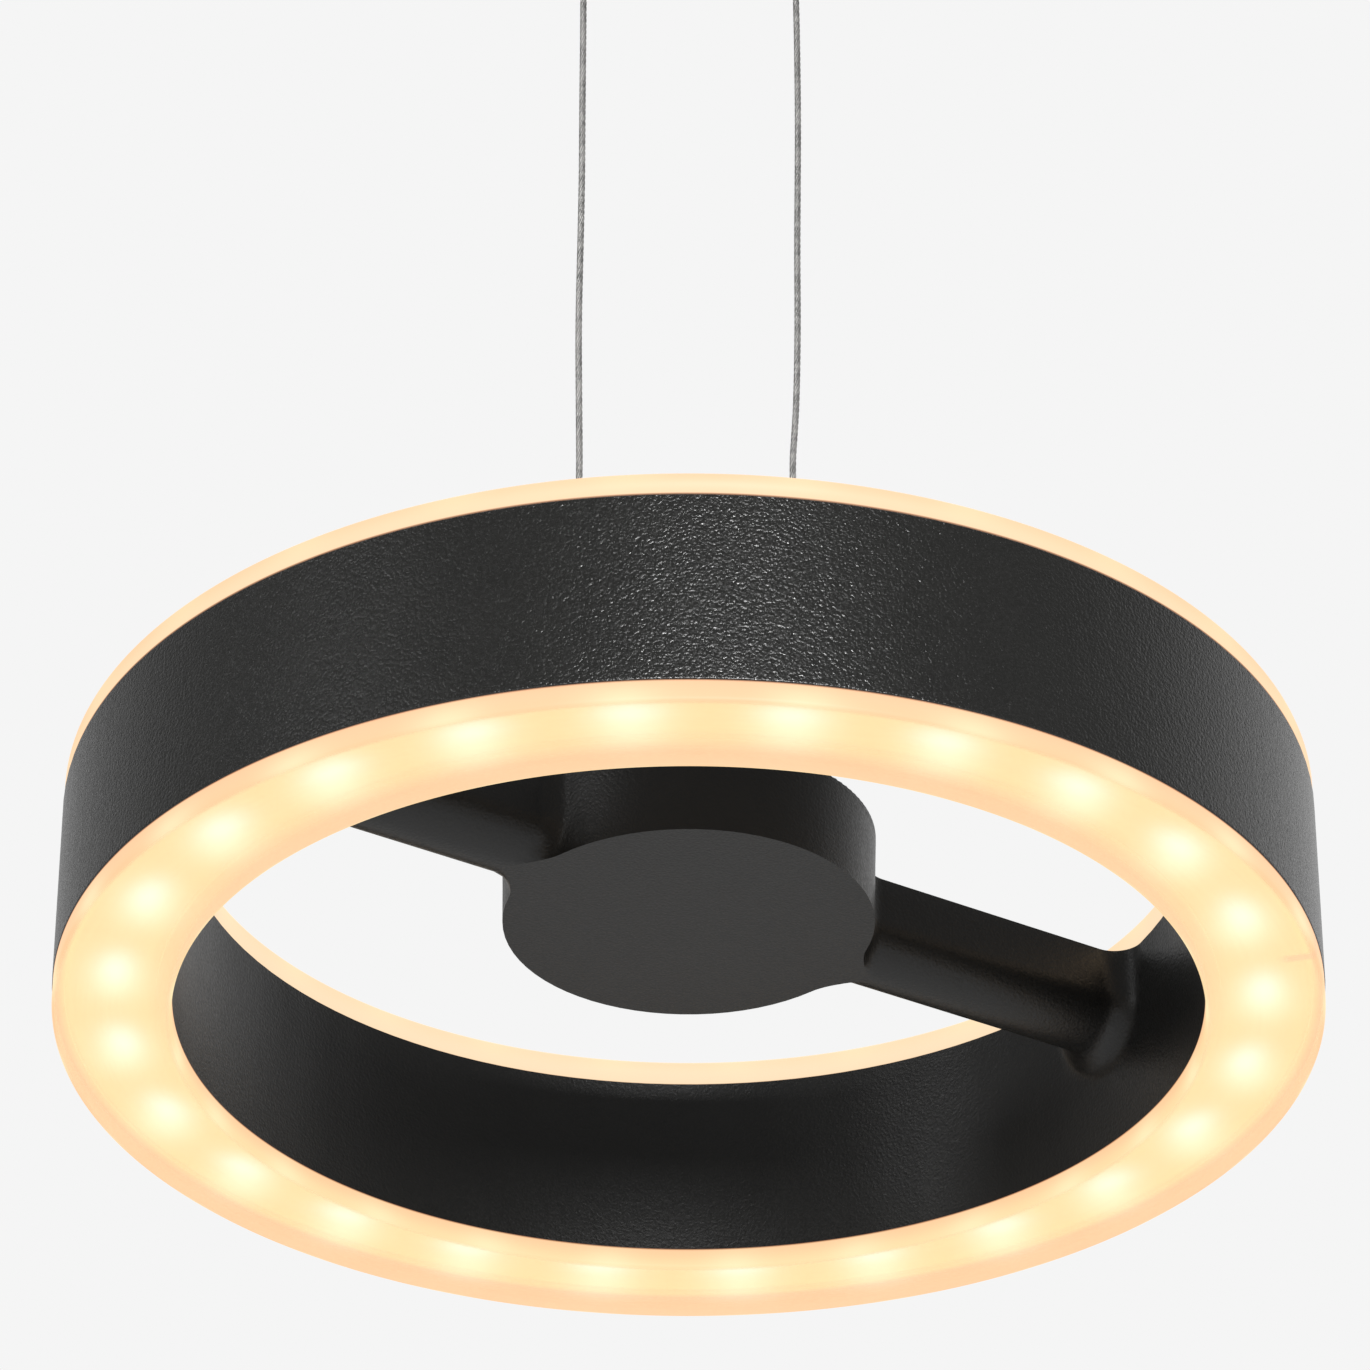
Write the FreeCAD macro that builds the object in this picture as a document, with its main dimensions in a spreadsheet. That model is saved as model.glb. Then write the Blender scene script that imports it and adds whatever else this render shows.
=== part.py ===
import FreeCAD, Part
import math
import os
import re
import Sketcher
from FreeCAD import Placement, Rotation, Vector

# Ring pendant light, hung from two bare live wires at extra-low voltage.
# The frame has its origin on the ceiling, in the middle of the strap's top face. +Z points up, so the
# light hangs towards -Z, and X runs along the bridge of the ring and through both wires.

# Driving dimensions, in millimetres and degrees
SIZES = {
    # canopy and ceiling strap
    "canopy_radius": 55.0, "canopy_height": 42.0, "canopy_wall": 1.2, "canopy_corner": 2.0,
    "strap_thickness": 1.5, "strap_width": 24.0, "strap_clearance": 3.5, "strap_tab_drop": 14.0,
    "strap_tab_width": 16.0, "slot_spacing": 70.0, "slot_width": 4.6, "slot_length": 12.0,
    "cable_hole_radius": 6.0, "side_screw_radius": 2.0, "side_screw_drop": 9.0,
    "side_screw_reach": 6.5, "side_head_radius": 3.6, "side_head_height": 2.4,
    "thread_gap": 0.02, "hole_gap": 0.2, "overrun": 1.0,
    # earth screw and its tag
    "earth_place": 12.0, "earth_setback": 6.0, "earth_screw_radius": 1.9, "earth_head_radius": 3.4,
    "earth_head_height": 2.2, "earth_tag_thickness": 0.8, "earth_tag_width": 7.0,
    "earth_tag_length": 13.0,
    # mains terminal block
    "pad_thickness": 0.8, "terminal_length": 27.0, "terminal_width": 14.0, "terminal_height": 12.0,
    "terminal_setback": 16.0, "pole_pitch": 8.0, "pole_radius": 1.9, "pole_depth": 8.0,
    "pole_screw_radius": 1.6, "pole_screw_length": 3.4, "pole_screw_slot": 0.5,
    "pole_screw_slot_depth": 0.8, "pole_screw_setback": 4.5,
    # driver
    "driver_length": 66.0, "driver_width": 24.0, "driver_height": 17.0, "driver_wall": 1.5,
    "driver_setback": 16.0, "driver_lid": 1.5, "driver_lip": 2.0, "driver_lip_gap": 0.1,
    "driver_post_height": 2.5, "driver_post_radius": 2.0, "driver_board_thickness": 1.2,
    "driver_board_gap": 0.5, "core_length": 15.0, "core_width": 13.0, "core_height": 10.0,
    "core_limb": 3.0, "coil_radius": 4.4, "coil_height": 3.4, "capacitor_radius": 3.6,
    "capacitor_height": 8.5, "capacitor_pitch": 8.4, "capacitor_inset": 11.0,
    # leads inside the canopy
    "mains_lead_radius": 0.9, "output_lead_radius": 0.7, "output_lead_setback": 13.0,
    "output_lead_rise": 15.0, "mains_lead_rise": 9.0,
    # suspension wires and their swivelling grippers
    "wire_inset": 8.6, "wire_radius": 0.6, "insulator_radius": 10.5, "insulator_flange": 1.0,
    "insulator_wall": 0.95, "insulator_gap": 0.1, "insulator_lap": 0.5, "washer_thickness": 1.0,
    "seat_radius": 7.0, "seat_flange_radius": 9.5, "seat_flange": 1.5, "seat_top": 7.2,
    "seat_lip": 1.0, "tag_thickness": 0.5, "tag_radius": 10.0, "tag_width": 4.0, "tag_reach": 15.0,
    "nut_width": 18.0, "nut_height": 4.0, "ball_radius": 5.0, "ball_gap": 0.05,
    "ball_bore_gap": 0.3, "seat_opening": 3.9, "barrel_radius": 2.6, "barrel_length": 14.0,
    "crown_radius": 3.7, "crown_height": 13.0, "nib_radius": 1.5, "nib_gap": 0.1,
    "nib_head_radius": 1.95, "nib_head_height": 1.0, "nib_stand_out": 3.5,
    "nib_travel": 2.0, "nib_wall": 0.5, "nib_stop_depth": 4.0, "cone_start": 1.0,
    "cone_end": 4.0, "chamber_radius": 3.0, "grip_ball_radius": 0.82, "grip_ball_lift": 1.05,
    "grip_gap": 0.05, "cage_bottom": 2.2, "cage_height": 1.2, "cage_gap": 0.18,
    "spring_wire_radius": 0.22, "spring_radius": 2.3, "spring_pitch": 1.1,
    "cap_plug": 3.0, "cap_flange": 1.5, "wire_passage": 0.85,
    "stop_radius": 1.6, "stop_height": 4.0, "stop_lift": 12.0,
    # ring casting
    "hang_drop": 272.0, "ring_radius": 110.0, "ring_height": 35.3, "ring_wall": 1.8,
    "ring_width": 21.0, "ring_bore_flare": 1.0, "ring_inner_drop": 0.8,
    "web_thickness": 3.0, "ring_edge": 0.35,
    "hub_radius": 32.6, "hub_flare": 0.4, "hub_height": 16.2, "hub_floor": 3.0, "hub_wall": 3.0,
    "arm_lift": 0.05, "arm_half_width": 8.0, "arm_blend": 5.0, "arm_bite": 1.2,
    "channel_half_width": 4.5, "channel_floor": 3.7, "channel_end": 2.0,
    "arm_cover_half_width": 6.0, "arm_cover_thickness": 1.2, "arm_cover_gap": 0.05,
    "grommet_radius": 1.9, "grommet_flange_radius": 2.7, "grommet_flange": 0.6,
    "grommet_drop": 8.3,
    # hub cover and its screws
    "hub_cover_thickness": 1.2, "hub_cover_edge": 0.4, "cover_screw_inset": 7.6,
    "cover_screw_radius": 1.25, "cover_screw_length": 7.0, "cover_head_radius": 2.5,
    "cover_head_height": 1.1, "boss_radius": 3.2, "drive_radius": 0.9, "drive_depth": 0.6,
    "bushing_flange_radius": 4.3, "bushing_flange": 0.8, "bushing_radius": 3.4,
    "bushing_gap": 0.1, "bushing_lap": 0.5, "bushing_bore_low": 1.6, "bushing_bore_high": 2.2,
    # wire anchors in the hub
    "anchor_end_gap": 1.0, "anchor_half_width": 5.4, "anchor_lift": 6.4,
    "anchor_height": 6.0, "anchor_screw_place": 10.0, "anchor_screw_length": 10.0,
    "anchor_head_radius": 2.4, "anchor_head_height": 1.6, "socket_radius": 4.0,
    "socket_gap": 0.05, "socket_plate": 1.2, "socket_plate_half_width": 4.0,
    "socket_plate_gap": 0.7, "end_ball_radius": 2.2, "end_ball_gap": 0.05,
    "end_ball_lift": 3.3, "socket_opening": 1.55, "socket_mouth": 1.9, "socket_well": 2.35,
    # lead from each socket to the ring
    "arm_lead_radius": 0.6, "arm_lead_shift": 3.0, "arm_lead_lift": 2.1, "arm_lead_dip_run": 17.4,
    "arm_lead_rise_run": 19.0, "arm_lead_landing": 6.2,
    # lamp boards, lamps and their screws
    "board_gap": 1.7, "board_thickness": 1.6,
    "lamp_count": 24.0, "lamp_inset": 10.6, "lamp_length": 3.5, "lamp_width": 2.8,
    "lamp_height": 0.8,
    "link_inset": 5.2, "link_radius": 0.7, "link_gap": 0.05, "link_clear": 0.8,
    "link_stand_out": 0.9, "board_screw_count": 6.0, "board_screw_inset": 5.0,
    "board_screw_radius": 1.25, "board_screw_head_radius": 2.2, "board_screw_head": 1.3,
    "board_screw_bite": 2.4,
    # diffusers
    "diffuser_inset": 0.15, "diffuser_bore_inset": 0.35, "lower_stand_out": 4.0,
    "upper_stand_out": 4.3, "diffuser_edge": 0.8, "diffuser_leg": 1.5, "diffuser_leg_depth": 4.0,
    "diffuser_leg_gap": 0.1, "diffuser_floor": 3.4,
}

doc = FreeCAD.newDocument("ring_pendant")
sheet = doc.addObject("Spreadsheet::Sheet", "sizes")
for row, (name, number) in enumerate(SIZES.items(), start=1):
    sheet.set(f"A{row}", name)
    sheet.set(f"B{row}", str(number))
    sheet.setAlias(f"B{row}", name)
doc.recompute()

nodes = []


def bound(text):
    """An expression in which each size's name points at its cell in the sheet."""
    return re.sub(r"[a-z]\w*", lambda word: "sizes." + word[0] if word[0] in SIZES else word[0], text)


def value(text):
    """The number that an expression of sizes comes to now."""
    return float(sheet.evalExpression(bound(text)))


def bind(thing, **expressions):
    """Tie properties of an object to expressions of sizes."""
    for key, text in expressions.items():
        thing.setExpression(key.replace("__", "."), bound(text))


def place(thing, at):
    """Tie an object's position to three expressions of sizes."""
    bind(thing, Placement__Base__x=at[0], Placement__Base__y=at[1], Placement__Base__z=at[2])
    return thing


def keep(label, thing):
    """Make this object one of the sub-parts, under this label."""
    thing.Label = label
    nodes.append(thing)
    return thing


def rod(radius, length, at=("0", "0", "0"), along="z"):
    """A round bar from a point, along one axis."""
    thing = doc.addObject("Part::Cylinder", "rod")
    turns = {"z": Rotation(), "x": Rotation(Vector(0, 1, 0), 90), "y": Rotation(Vector(1, 0, 0), -90)}
    thing.Placement = Placement(Vector(), turns[along])
    bind(thing, Radius=radius, Height=length)
    return place(thing, at)


def block(x, y, z):
    """A box, given by its start and its length along each axis."""
    thing = doc.addObject("Part::Box", "block")
    bind(thing, Length=x[1], Width=y[1], Height=z[1])
    return place(thing, (x[0], y[0], z[0]))


def middle(half):
    """Start and length of a span that lies evenly about zero."""
    return f"-({half})", f"2 * ({half})"


def cone(low, high, length, at):
    """A cone from its low radius to its high one, upwards."""
    thing = doc.addObject("Part::Cone", "cone")
    bind(thing, Radius1=low, Radius2=high, Height=length)
    return place(thing, at)


def join(*things):
    """Objects fused into one."""
    thing = doc.addObject("Part::MultiFuse", "joined")
    thing.Shapes = list(things)
    thing.Refine = True
    return thing


def less(base, *tools):
    """An object with others cut away from it."""
    thing = doc.addObject("Part::Cut", "cut")
    thing.Base = base
    thing.Tool = tools[0] if len(tools) == 1 else join(*tools)
    return thing


def tube(outer, inner, length, at):
    """A round bar with a bore right through."""
    return less(rod(outer, length, at), rod(inner, length, at))


def polygon_bar(width, length, at):
    """A hexagonal bar, measured across its flats."""
    thing = doc.addObject("Part::Prism", "hexagon")
    thing.Polygon = 6
    bind(thing, Circumradius=f"({width}) / sqrt(3)", Height=length)
    return place(thing, at)


def plane_of(body, role):
    """One of a body's own origin planes."""
    return next(item for item in body.Origin.OriginFeatures if item.Role == role)


def turned(outline, at=("0", "0", "0")):
    """A body turned about its own vertical axis from a closed outline of radius and height."""
    body = doc.addObject("PartDesign::Body", "turned")
    sketch = body.newObject("Sketcher::SketchObject", "outline")
    sketch.AttachmentSupport = [(plane_of(body, "XZ_Plane"), "")]
    sketch.MapMode = "FlatFace"
    count = len(outline)
    corners = [Vector(value(radius), value(height), 0) for radius, height in outline]
    for index in range(count):
        sketch.addGeometry(Part.LineSegment(corners[index], corners[(index + 1) % count]))
    for index in range(count):
        sketch.addConstraint(Sketcher.Constraint("Coincident", index, 2, (index + 1) % count, 1))
    for index, texts in enumerate(outline):
        for kind, text, number in zip(("DistanceX", "DistanceY"), texts, corners[index]):
            rule = sketch.addConstraint(Sketcher.Constraint(kind, -1, 1, index, 1, number))
            sketch.setExpression(f"Constraints[{rule}]", bound(text))
    spin = body.newObject("PartDesign::Revolution", "spin")
    spin.Profile = sketch
    spin.ReferenceAxis = (sketch, ["V_Axis"])
    spin.Angle = 360
    doc.recompute()
    return place(body, at)


def rounded(body, rings, radius):
    """Round the circular edges of a turned body that have these radii and heights."""
    base = body.Tip
    picked = []
    for number, edge in enumerate(base.Shape.Edges, start=1):
        if not isinstance(edge.Curve, Part.Circle):
            continue
        for ring, height in rings:
            same_radius = abs(edge.Curve.Radius - value(ring)) < value("thread_gap")
            if same_radius and abs(edge.Curve.Center.z - value(height)) < value("thread_gap"):
                picked.append(f"Edge{number}")
    fillet = body.newObject("PartDesign::Fillet", "rounding")
    fillet.Base = (base, picked)
    bind(fillet, Radius=radius)
    doc.recompute()
    return body


def copies(label, seed, moves):
    """One sub-part that is a group of separate copies of a solid."""
    doc.recompute()
    group = doc.addObject("Part::Feature", "group")
    group.Shape = Part.makeCompound([seed.Shape.transformed(move.toMatrix(), True) for move in moves])
    return keep(label, group)


def shifts(*places):
    """Moves that carry a solid to each place, given as expressions of sizes."""
    return [Placement(Vector(*(value(text) for text in spot)), Rotation()) for spot in places]


def both_wires():
    """Moves that carry a solid from the middle to the left and the right wire."""
    return shifts((f"-{wire_offset}", "0", "0"), (wire_offset, "0", "0"))


def turns(count, start=0.0):
    """Turns about the vertical axis, evenly spaced, from a start angle in degrees."""
    step = 360.0 / count
    return [Placement(Vector(), Rotation(Vector(0, 0, 1), start + step * index)) for index in range(count)]


def route(points):
    """A path of straight runs joined by tangent arcs, each as large as its two runs allow."""
    run_share = 0.45
    edges = []
    start = points[0]
    for before, here, after in zip(points, points[1:], points[2:]):
        back = (before - here).normalize()
        on = (after - here).normalize()
        half_turn = (math.pi - back.getAngle(on)) / 2
        reach = run_share * min((here - before).Length, (after - here).Length)
        bisector = (back + on).normalize()
        radius = reach / math.tan(half_turn)
        centre = here + bisector * (radius / math.cos(half_turn))
        enter = here + back * reach
        leave = here + on * reach
        crown = centre - bisector * radius
        edges.append(Part.LineSegment(start, enter).toShape())
        edges.append(Part.Arc(enter, crown, leave).toShape())
        start = leave
        print("    bend radius", round(radius, 2))
    edges.append(Part.LineSegment(start, points[-1]).toShape())
    return Part.Wire(edges)


def swept(path, radius):
    """A round solid along a path, its volume printed beside its section times its length."""
    first = path.Edges[0]
    ring = Part.Wire(Part.makeCircle(radius, first.valueAt(first.FirstParameter), first.tangentAt(0)))
    solid = path.makePipeShell([ring], True, False)
    print("    volume", round(solid.Volume, 2), "of", round(math.pi * radius ** 2 * path.Length, 2))
    return solid


def leads(label, routes, radius):
    """A group of round leads, each along its own list of points given as expressions."""
    print(label)
    group = doc.addObject("Part::Feature", "leads")
    solids = []
    for points in routes:
        corners = [Vector(*(value(text) for text in point)) for point in points]
        path = route(corners) if len(corners) > 2 else Part.Wire(Part.makeLine(*corners))
        solids.append(swept(path, value(radius)))
    group.Shape = Part.makeCompound(solids)
    return keep(label, group)


# Places that several pieces share
wire_offset = "(hub_radius - wire_inset)"
ring_bore = "(ring_radius - ring_width)"
strap_reach = "(canopy_radius - strap_clearance)"

# Canopy: a drawn cup whose rim meets the ceiling
plate = "-canopy_height"
floor = f"({plate} + canopy_wall)"

cup = turned([
    ("0", plate), ("canopy_radius", plate), ("canopy_radius", "0"),
    ("canopy_radius - canopy_wall", "0"), ("canopy_radius - canopy_wall", floor), ("0", floor)])
rounded(cup, [("canopy_radius", plate)], "canopy_corner")
seat_hole_radius = "(seat_radius + insulator_wall + 2 * insulator_gap)"
seat_holes = [rod(seat_hole_radius, "canopy_wall + 2 * overrun", (x, "0", f"{plate} - overrun"))
              for x in (f"-{wire_offset}", wire_offset)]
side_hole = rod("side_screw_radius + hole_gap", "2 * (canopy_radius + overrun)",
                ("-(canopy_radius + overrun)", "0", "-side_screw_drop"), "x")
keep("canopy_cover", less(cup, side_hole, *seat_holes))

# Ceiling strap with its two slots, the cable hole and a tab at each end
strap = block(middle(strap_reach), middle("strap_width / 2"), ("-strap_thickness", "strap_thickness"))
tabs = [block((x, "strap_thickness"), middle("strap_tab_width / 2"), ("-strap_tab_drop", "strap_tab_drop"))
        for x in (f"-{strap_reach}", f"{strap_reach} - strap_thickness")]
strap_cut_start = "-strap_thickness - overrun"
strap_cut = "strap_thickness + 2 * overrun"
strap_holes = [rod("cable_hole_radius", strap_cut, ("0", "0", strap_cut_start)),
               rod("earth_screw_radius + thread_gap", strap_cut,
                   ("earth_place", "-earth_setback", strap_cut_start))]
for side in ("-", ""):
    slot_middle = f"{side}slot_spacing / 2"
    half_run = "(slot_length - slot_width) / 2"
    strap_holes.append(block((f"{slot_middle} - {half_run}", "slot_length - slot_width"),
                             middle("slot_width / 2"), (strap_cut_start, strap_cut)))
    for end in ("-", "+"):
        strap_holes.append(rod("slot_width / 2", strap_cut,
                               (f"{slot_middle} {end} {half_run}", "0", strap_cut_start)))
tab_hole = rod("side_screw_radius + thread_gap", f"2 * ({strap_reach} + overrun)",
               (f"-({strap_reach} + overrun)", "0", "-side_screw_drop"), "x")
keep("ceiling_strap", less(join(strap, *tabs), tab_hole, *strap_holes))

# Two knurled screws that hold the canopy to the strap's tabs
screw_head = rod("side_head_radius", "side_head_height", ("canopy_radius", "0", "-side_screw_drop"), "x")
screw_shank = rod("side_screw_radius", "side_screw_reach + overrun",
                  ("canopy_radius - side_screw_reach", "0", "-side_screw_drop"), "x")
side_screw = join(screw_head, screw_shank)
copies("canopy_screws", side_screw, turns(2))

# Earth screw and tag under the strap
tag_top = "(-strap_thickness - earth_tag_thickness)"
earth_x = "earth_place"
keep("earth_tag", less(
    block((f"{earth_x} - earth_tag_width / 2", "earth_tag_width"),
          ("-earth_setback - earth_tag_length + earth_tag_width / 2", "earth_tag_length"),
          (tag_top, "earth_tag_thickness")),
    rod("earth_screw_radius + thread_gap", "earth_tag_thickness + 2 * overrun",
        (earth_x, "-earth_setback", f"{tag_top} - overrun"))))
keep("earth_screw", less(
    join(rod("earth_head_radius", "earth_head_height",
             (earth_x, "-earth_setback", f"{tag_top} - earth_head_height")),
         rod("earth_screw_radius", f"-({tag_top})", (earth_x, "-earth_setback", tag_top))),
    rod("drive_radius", "drive_depth", (earth_x, "-earth_setback", f"{tag_top} - earth_head_height"))))

# Mains terminal block on the canopy's floor, with its three clamp screws
shelf = f"({floor} + pad_thickness)"
terminal_front = "(-terminal_setback - terminal_width)"
terminal_top = f"({shelf} + terminal_height)"
pole_places = ("-pole_pitch", "0", "pole_pitch")
screw_y = f"({terminal_front} + pole_screw_setback)"
terminal_cuts = []
for x in pole_places:
    terminal_cuts.append(rod("pole_radius", "pole_depth + overrun",
                             (x, f"{terminal_front} - overrun", f"{shelf} + terminal_height / 2"), "y"))
    terminal_cuts.append(rod("pole_screw_radius + thread_gap", "pole_screw_length + overrun",
                             (x, screw_y, f"{terminal_top} - pole_screw_length")))
keep("mains_terminal", less(
    block(middle("terminal_length / 2"), (terminal_front, "terminal_width"), (shelf, "terminal_height")),
    *terminal_cuts))
pole_screw = less(
    rod("pole_screw_radius", "pole_screw_length", ("0", screw_y, f"{terminal_top} - pole_screw_length")),
    block(middle("pole_screw_radius"), (f"{screw_y} - pole_screw_slot / 2", "pole_screw_slot"),
          (f"{terminal_top} - pole_screw_slot_depth", "pole_screw_slot_depth")))
copies("terminal_screws", pole_screw, shifts(*[(x, "0", "0") for x in pole_places]))

# Driver: case, lid, board and the two main kinds of component
driver_x = middle("driver_length / 2")
driver_y = ("driver_setback", "driver_width")
case_top = f"({shelf} + driver_height)"
hollow_x = middle("driver_length / 2 - driver_wall")
hollow_y = ("driver_setback + driver_wall", "driver_width - 2 * driver_wall")
case_shell = less(block(driver_x, driver_y, (shelf, "driver_height")),
                  block(hollow_x, hollow_y, (f"{shelf} + driver_wall", "driver_height")))
post_base = f"({shelf} + driver_wall)"
post_edge = "driver_wall + driver_board_gap + driver_post_radius"
posts = [rod("driver_post_radius", "driver_post_height", (x, y, post_base))
         for x in (f"-driver_length / 2 + {post_edge}", f"driver_length / 2 - ({post_edge})")
         for y in (f"driver_setback + {post_edge}", f"driver_setback + driver_width - ({post_edge})")]
keep("driver_case", join(case_shell, *posts))
lip_x = middle("driver_length / 2 - driver_wall - driver_lip_gap")
lip_y = ("driver_setback + driver_wall + driver_lip_gap",
         "driver_width - 2 * (driver_wall + driver_lip_gap)")
lip_inner_x = middle("driver_length / 2 - 2 * driver_wall - driver_lip_gap")
lip_inner_y = ("driver_setback + 2 * driver_wall + driver_lip_gap",
               "driver_width - 4 * driver_wall - 2 * driver_lip_gap")
lip_z = (f"{case_top} - driver_lip", "driver_lip")
keep("driver_lid", join(block(driver_x, driver_y, (case_top, "driver_lid")),
                        less(block(lip_x, lip_y, lip_z), block(lip_inner_x, lip_inner_y, lip_z))))
board_z = f"({post_base} + driver_post_height)"
board_top = f"({board_z} + driver_board_thickness)"
keep("driver_board", block(
    middle("driver_length / 2 - driver_wall - driver_board_gap"),
    ("driver_setback + driver_wall + driver_board_gap",
     "driver_width - 2 * (driver_wall + driver_board_gap)"),
    (board_z, "driver_board_thickness")))
driver_mid = "(driver_setback + driver_width / 2)"
limbs = [block(middle("core_length / 2"), (f"{driver_mid} - core_width / 2", "core_width"),
               (z, "core_limb")) for z in (board_top, f"{board_top} + core_height - core_limb")]
centre_limb = rod("core_limb / 2 + driver_wall", "core_height", ("0", driver_mid, board_top))
keep("transformer_core", join(*limbs, centre_limb))
keep("transformer_coil", tube("coil_radius + driver_wall", "core_limb / 2 + driver_wall + link_gap",
                              "coil_height",
                              ("0", driver_mid, f"{board_top} + core_limb + driver_board_gap / 2")))
can = rod("capacitor_radius", "capacitor_height", ("0", driver_mid, board_top))
capacitor_place = "(driver_length / 2 - capacitor_inset)"
copies("driver_capacitors", can, shifts(
    (f"-{capacitor_place}", "0", "0"), (f"{capacitor_place} - capacitor_pitch / 2", "0", "0"),
    (f"{capacitor_place} + capacitor_pitch / 2", "0", "0")))
driver_pad = block(driver_x, driver_y, (floor, "pad_thickness"))
terminal_pad = block(middle("terminal_length / 2"), (terminal_front, "terminal_width"),
                     (floor, "pad_thickness"))
pads = doc.addObject("Part::Compound", "pads")
pads.Links = [driver_pad, terminal_pad]
keep("adhesive_pads", pads)

# Grippers: levels are measured from the canopy's outer face and from the swivel ball's centre
washer_base = floor
tag_base = f"({washer_base} + washer_thickness)"
nut_base = f"({tag_base} + tag_thickness)"
seat_base = f"({plate} - insulator_flange - seat_flange)"
opening_depth = "sqrt((ball_radius + ball_gap) ^ 2 - seat_opening ^ 2)"
pivot = f"({seat_base} + {opening_depth} + seat_lip)"

insulator = turned([
    ("seat_radius + insulator_gap", f"{plate} - insulator_flange"),
    ("insulator_radius", f"{plate} - insulator_flange"), ("insulator_radius", plate),
    ("seat_radius + insulator_wall + insulator_gap", plate),
    ("seat_radius + insulator_wall + insulator_gap", f"{floor} + insulator_lap"),
    ("seat_radius + insulator_gap", f"{floor} + insulator_lap")])
copies("seat_insulators", insulator, both_wires())
washer = tube("insulator_radius", seat_hole_radius, "washer_thickness", ("0", "0", washer_base))
copies("insulating_washers", washer, both_wires())

tag_ring = less(
    join(rod("tag_radius", "tag_thickness", ("0", "0", tag_base)),
         block(("-tag_reach", "tag_reach"), middle("tag_width / 2"), (tag_base, "tag_thickness"))),
    rod("seat_radius + insulator_gap", "tag_thickness", ("0", "0", tag_base)))
doc.recompute()
copies("output_tags", tag_ring, [
    Placement(Vector(value(wire_offset), 0, 0), Rotation()),
    Placement(Vector(-value(wire_offset), 0, 0), Rotation(Vector(0, 0, 1), 180))])
nut = less(polygon_bar("nut_width", "nut_height", ("0", "0", nut_base)),
           rod("seat_radius + thread_gap", "nut_height", ("0", "0", nut_base)))
copies("seat_nuts", nut, both_wires())

# The seat's opening stops the ball, and flares outwards below so that the barrel can swing
seat_blank = turned([
    ("0", seat_base), ("seat_flange_radius", seat_base),
    ("seat_flange_radius", f"{seat_base} + seat_flange"), ("seat_radius", f"{seat_base} + seat_flange"),
    ("seat_radius", f"{plate} + seat_top"), ("0", f"{plate} + seat_top")])
rounded(seat_blank, [("seat_flange_radius", seat_base)], "ring_edge")
hollow = doc.addObject("Part::Sphere", "hollow")
bind(hollow, Radius="ball_radius + ball_gap")
place(hollow, ("0", "0", pivot))
throat = rod("ball_radius + ball_bore_gap", "seat_top + ball_radius", ("0", "0", pivot))
mouth = cone("seat_opening + seat_lip", "seat_opening", "seat_lip", ("0", "0", seat_base))
opening = rod("seat_opening", "seat_lip + ball_radius", ("0", "0", seat_base))
copies("swivel_seats", less(seat_blank, hollow, throat, mouth, opening), both_wires())

# Inside each gripper a sprung cage presses three balls down a narrowing cone onto the wire
cone_low = "(nib_head_radius + nib_gap)"
cone_slope = f"((chamber_radius - {cone_low}) / (cone_start + cone_end))"
lifted_ball = f"({pivot} + grip_ball_lift)"
cap_base = f"({pivot} + crown_height - cap_plug)"
cap_top = f"({pivot} + crown_height + cap_flange)"
nib_seat = f"({pivot} - nib_stop_depth)"
barrel_bottom = f"({pivot} - barrel_length)"
nib_bottom = f"({barrel_bottom} - nib_stand_out)"
nib_top = f"({lifted_ball} - grip_ball_radius - nib_gap - nib_travel)"
grip_reach = "(wire_radius + grip_gap + grip_ball_radius)"
cage_z = f"({pivot} + cage_bottom)"
spring_base = f"({cage_z} + cage_height + spring_wire_radius)"
spring_room = f"({cap_base} - {spring_base} - spring_wire_radius)"


def coil_spring(base, room):
    """An open spring of half-turn arcs that climb at a steady rate, ends one gap short of its seats."""
    half_turns = int(room / value("spring_pitch") * 2)
    climb = room / half_turns
    mean = value("spring_radius")
    spots = [Vector(mean * math.cos(math.pi * step / 2), mean * math.sin(math.pi * step / 2),
                    base + climb * step / 2) for step in range(2 * half_turns + 1)]
    arcs = [Part.Arc(*spots[2 * step:2 * step + 3]).toShape() for step in range(half_turns)]
    least_gap = 2 * climb - 2 * value("spring_wire_radius")
    print("    spring turns", half_turns / 2, "least gap", round(least_gap, 2))
    return swept(Part.Wire(arcs), value("spring_wire_radius"))


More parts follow.
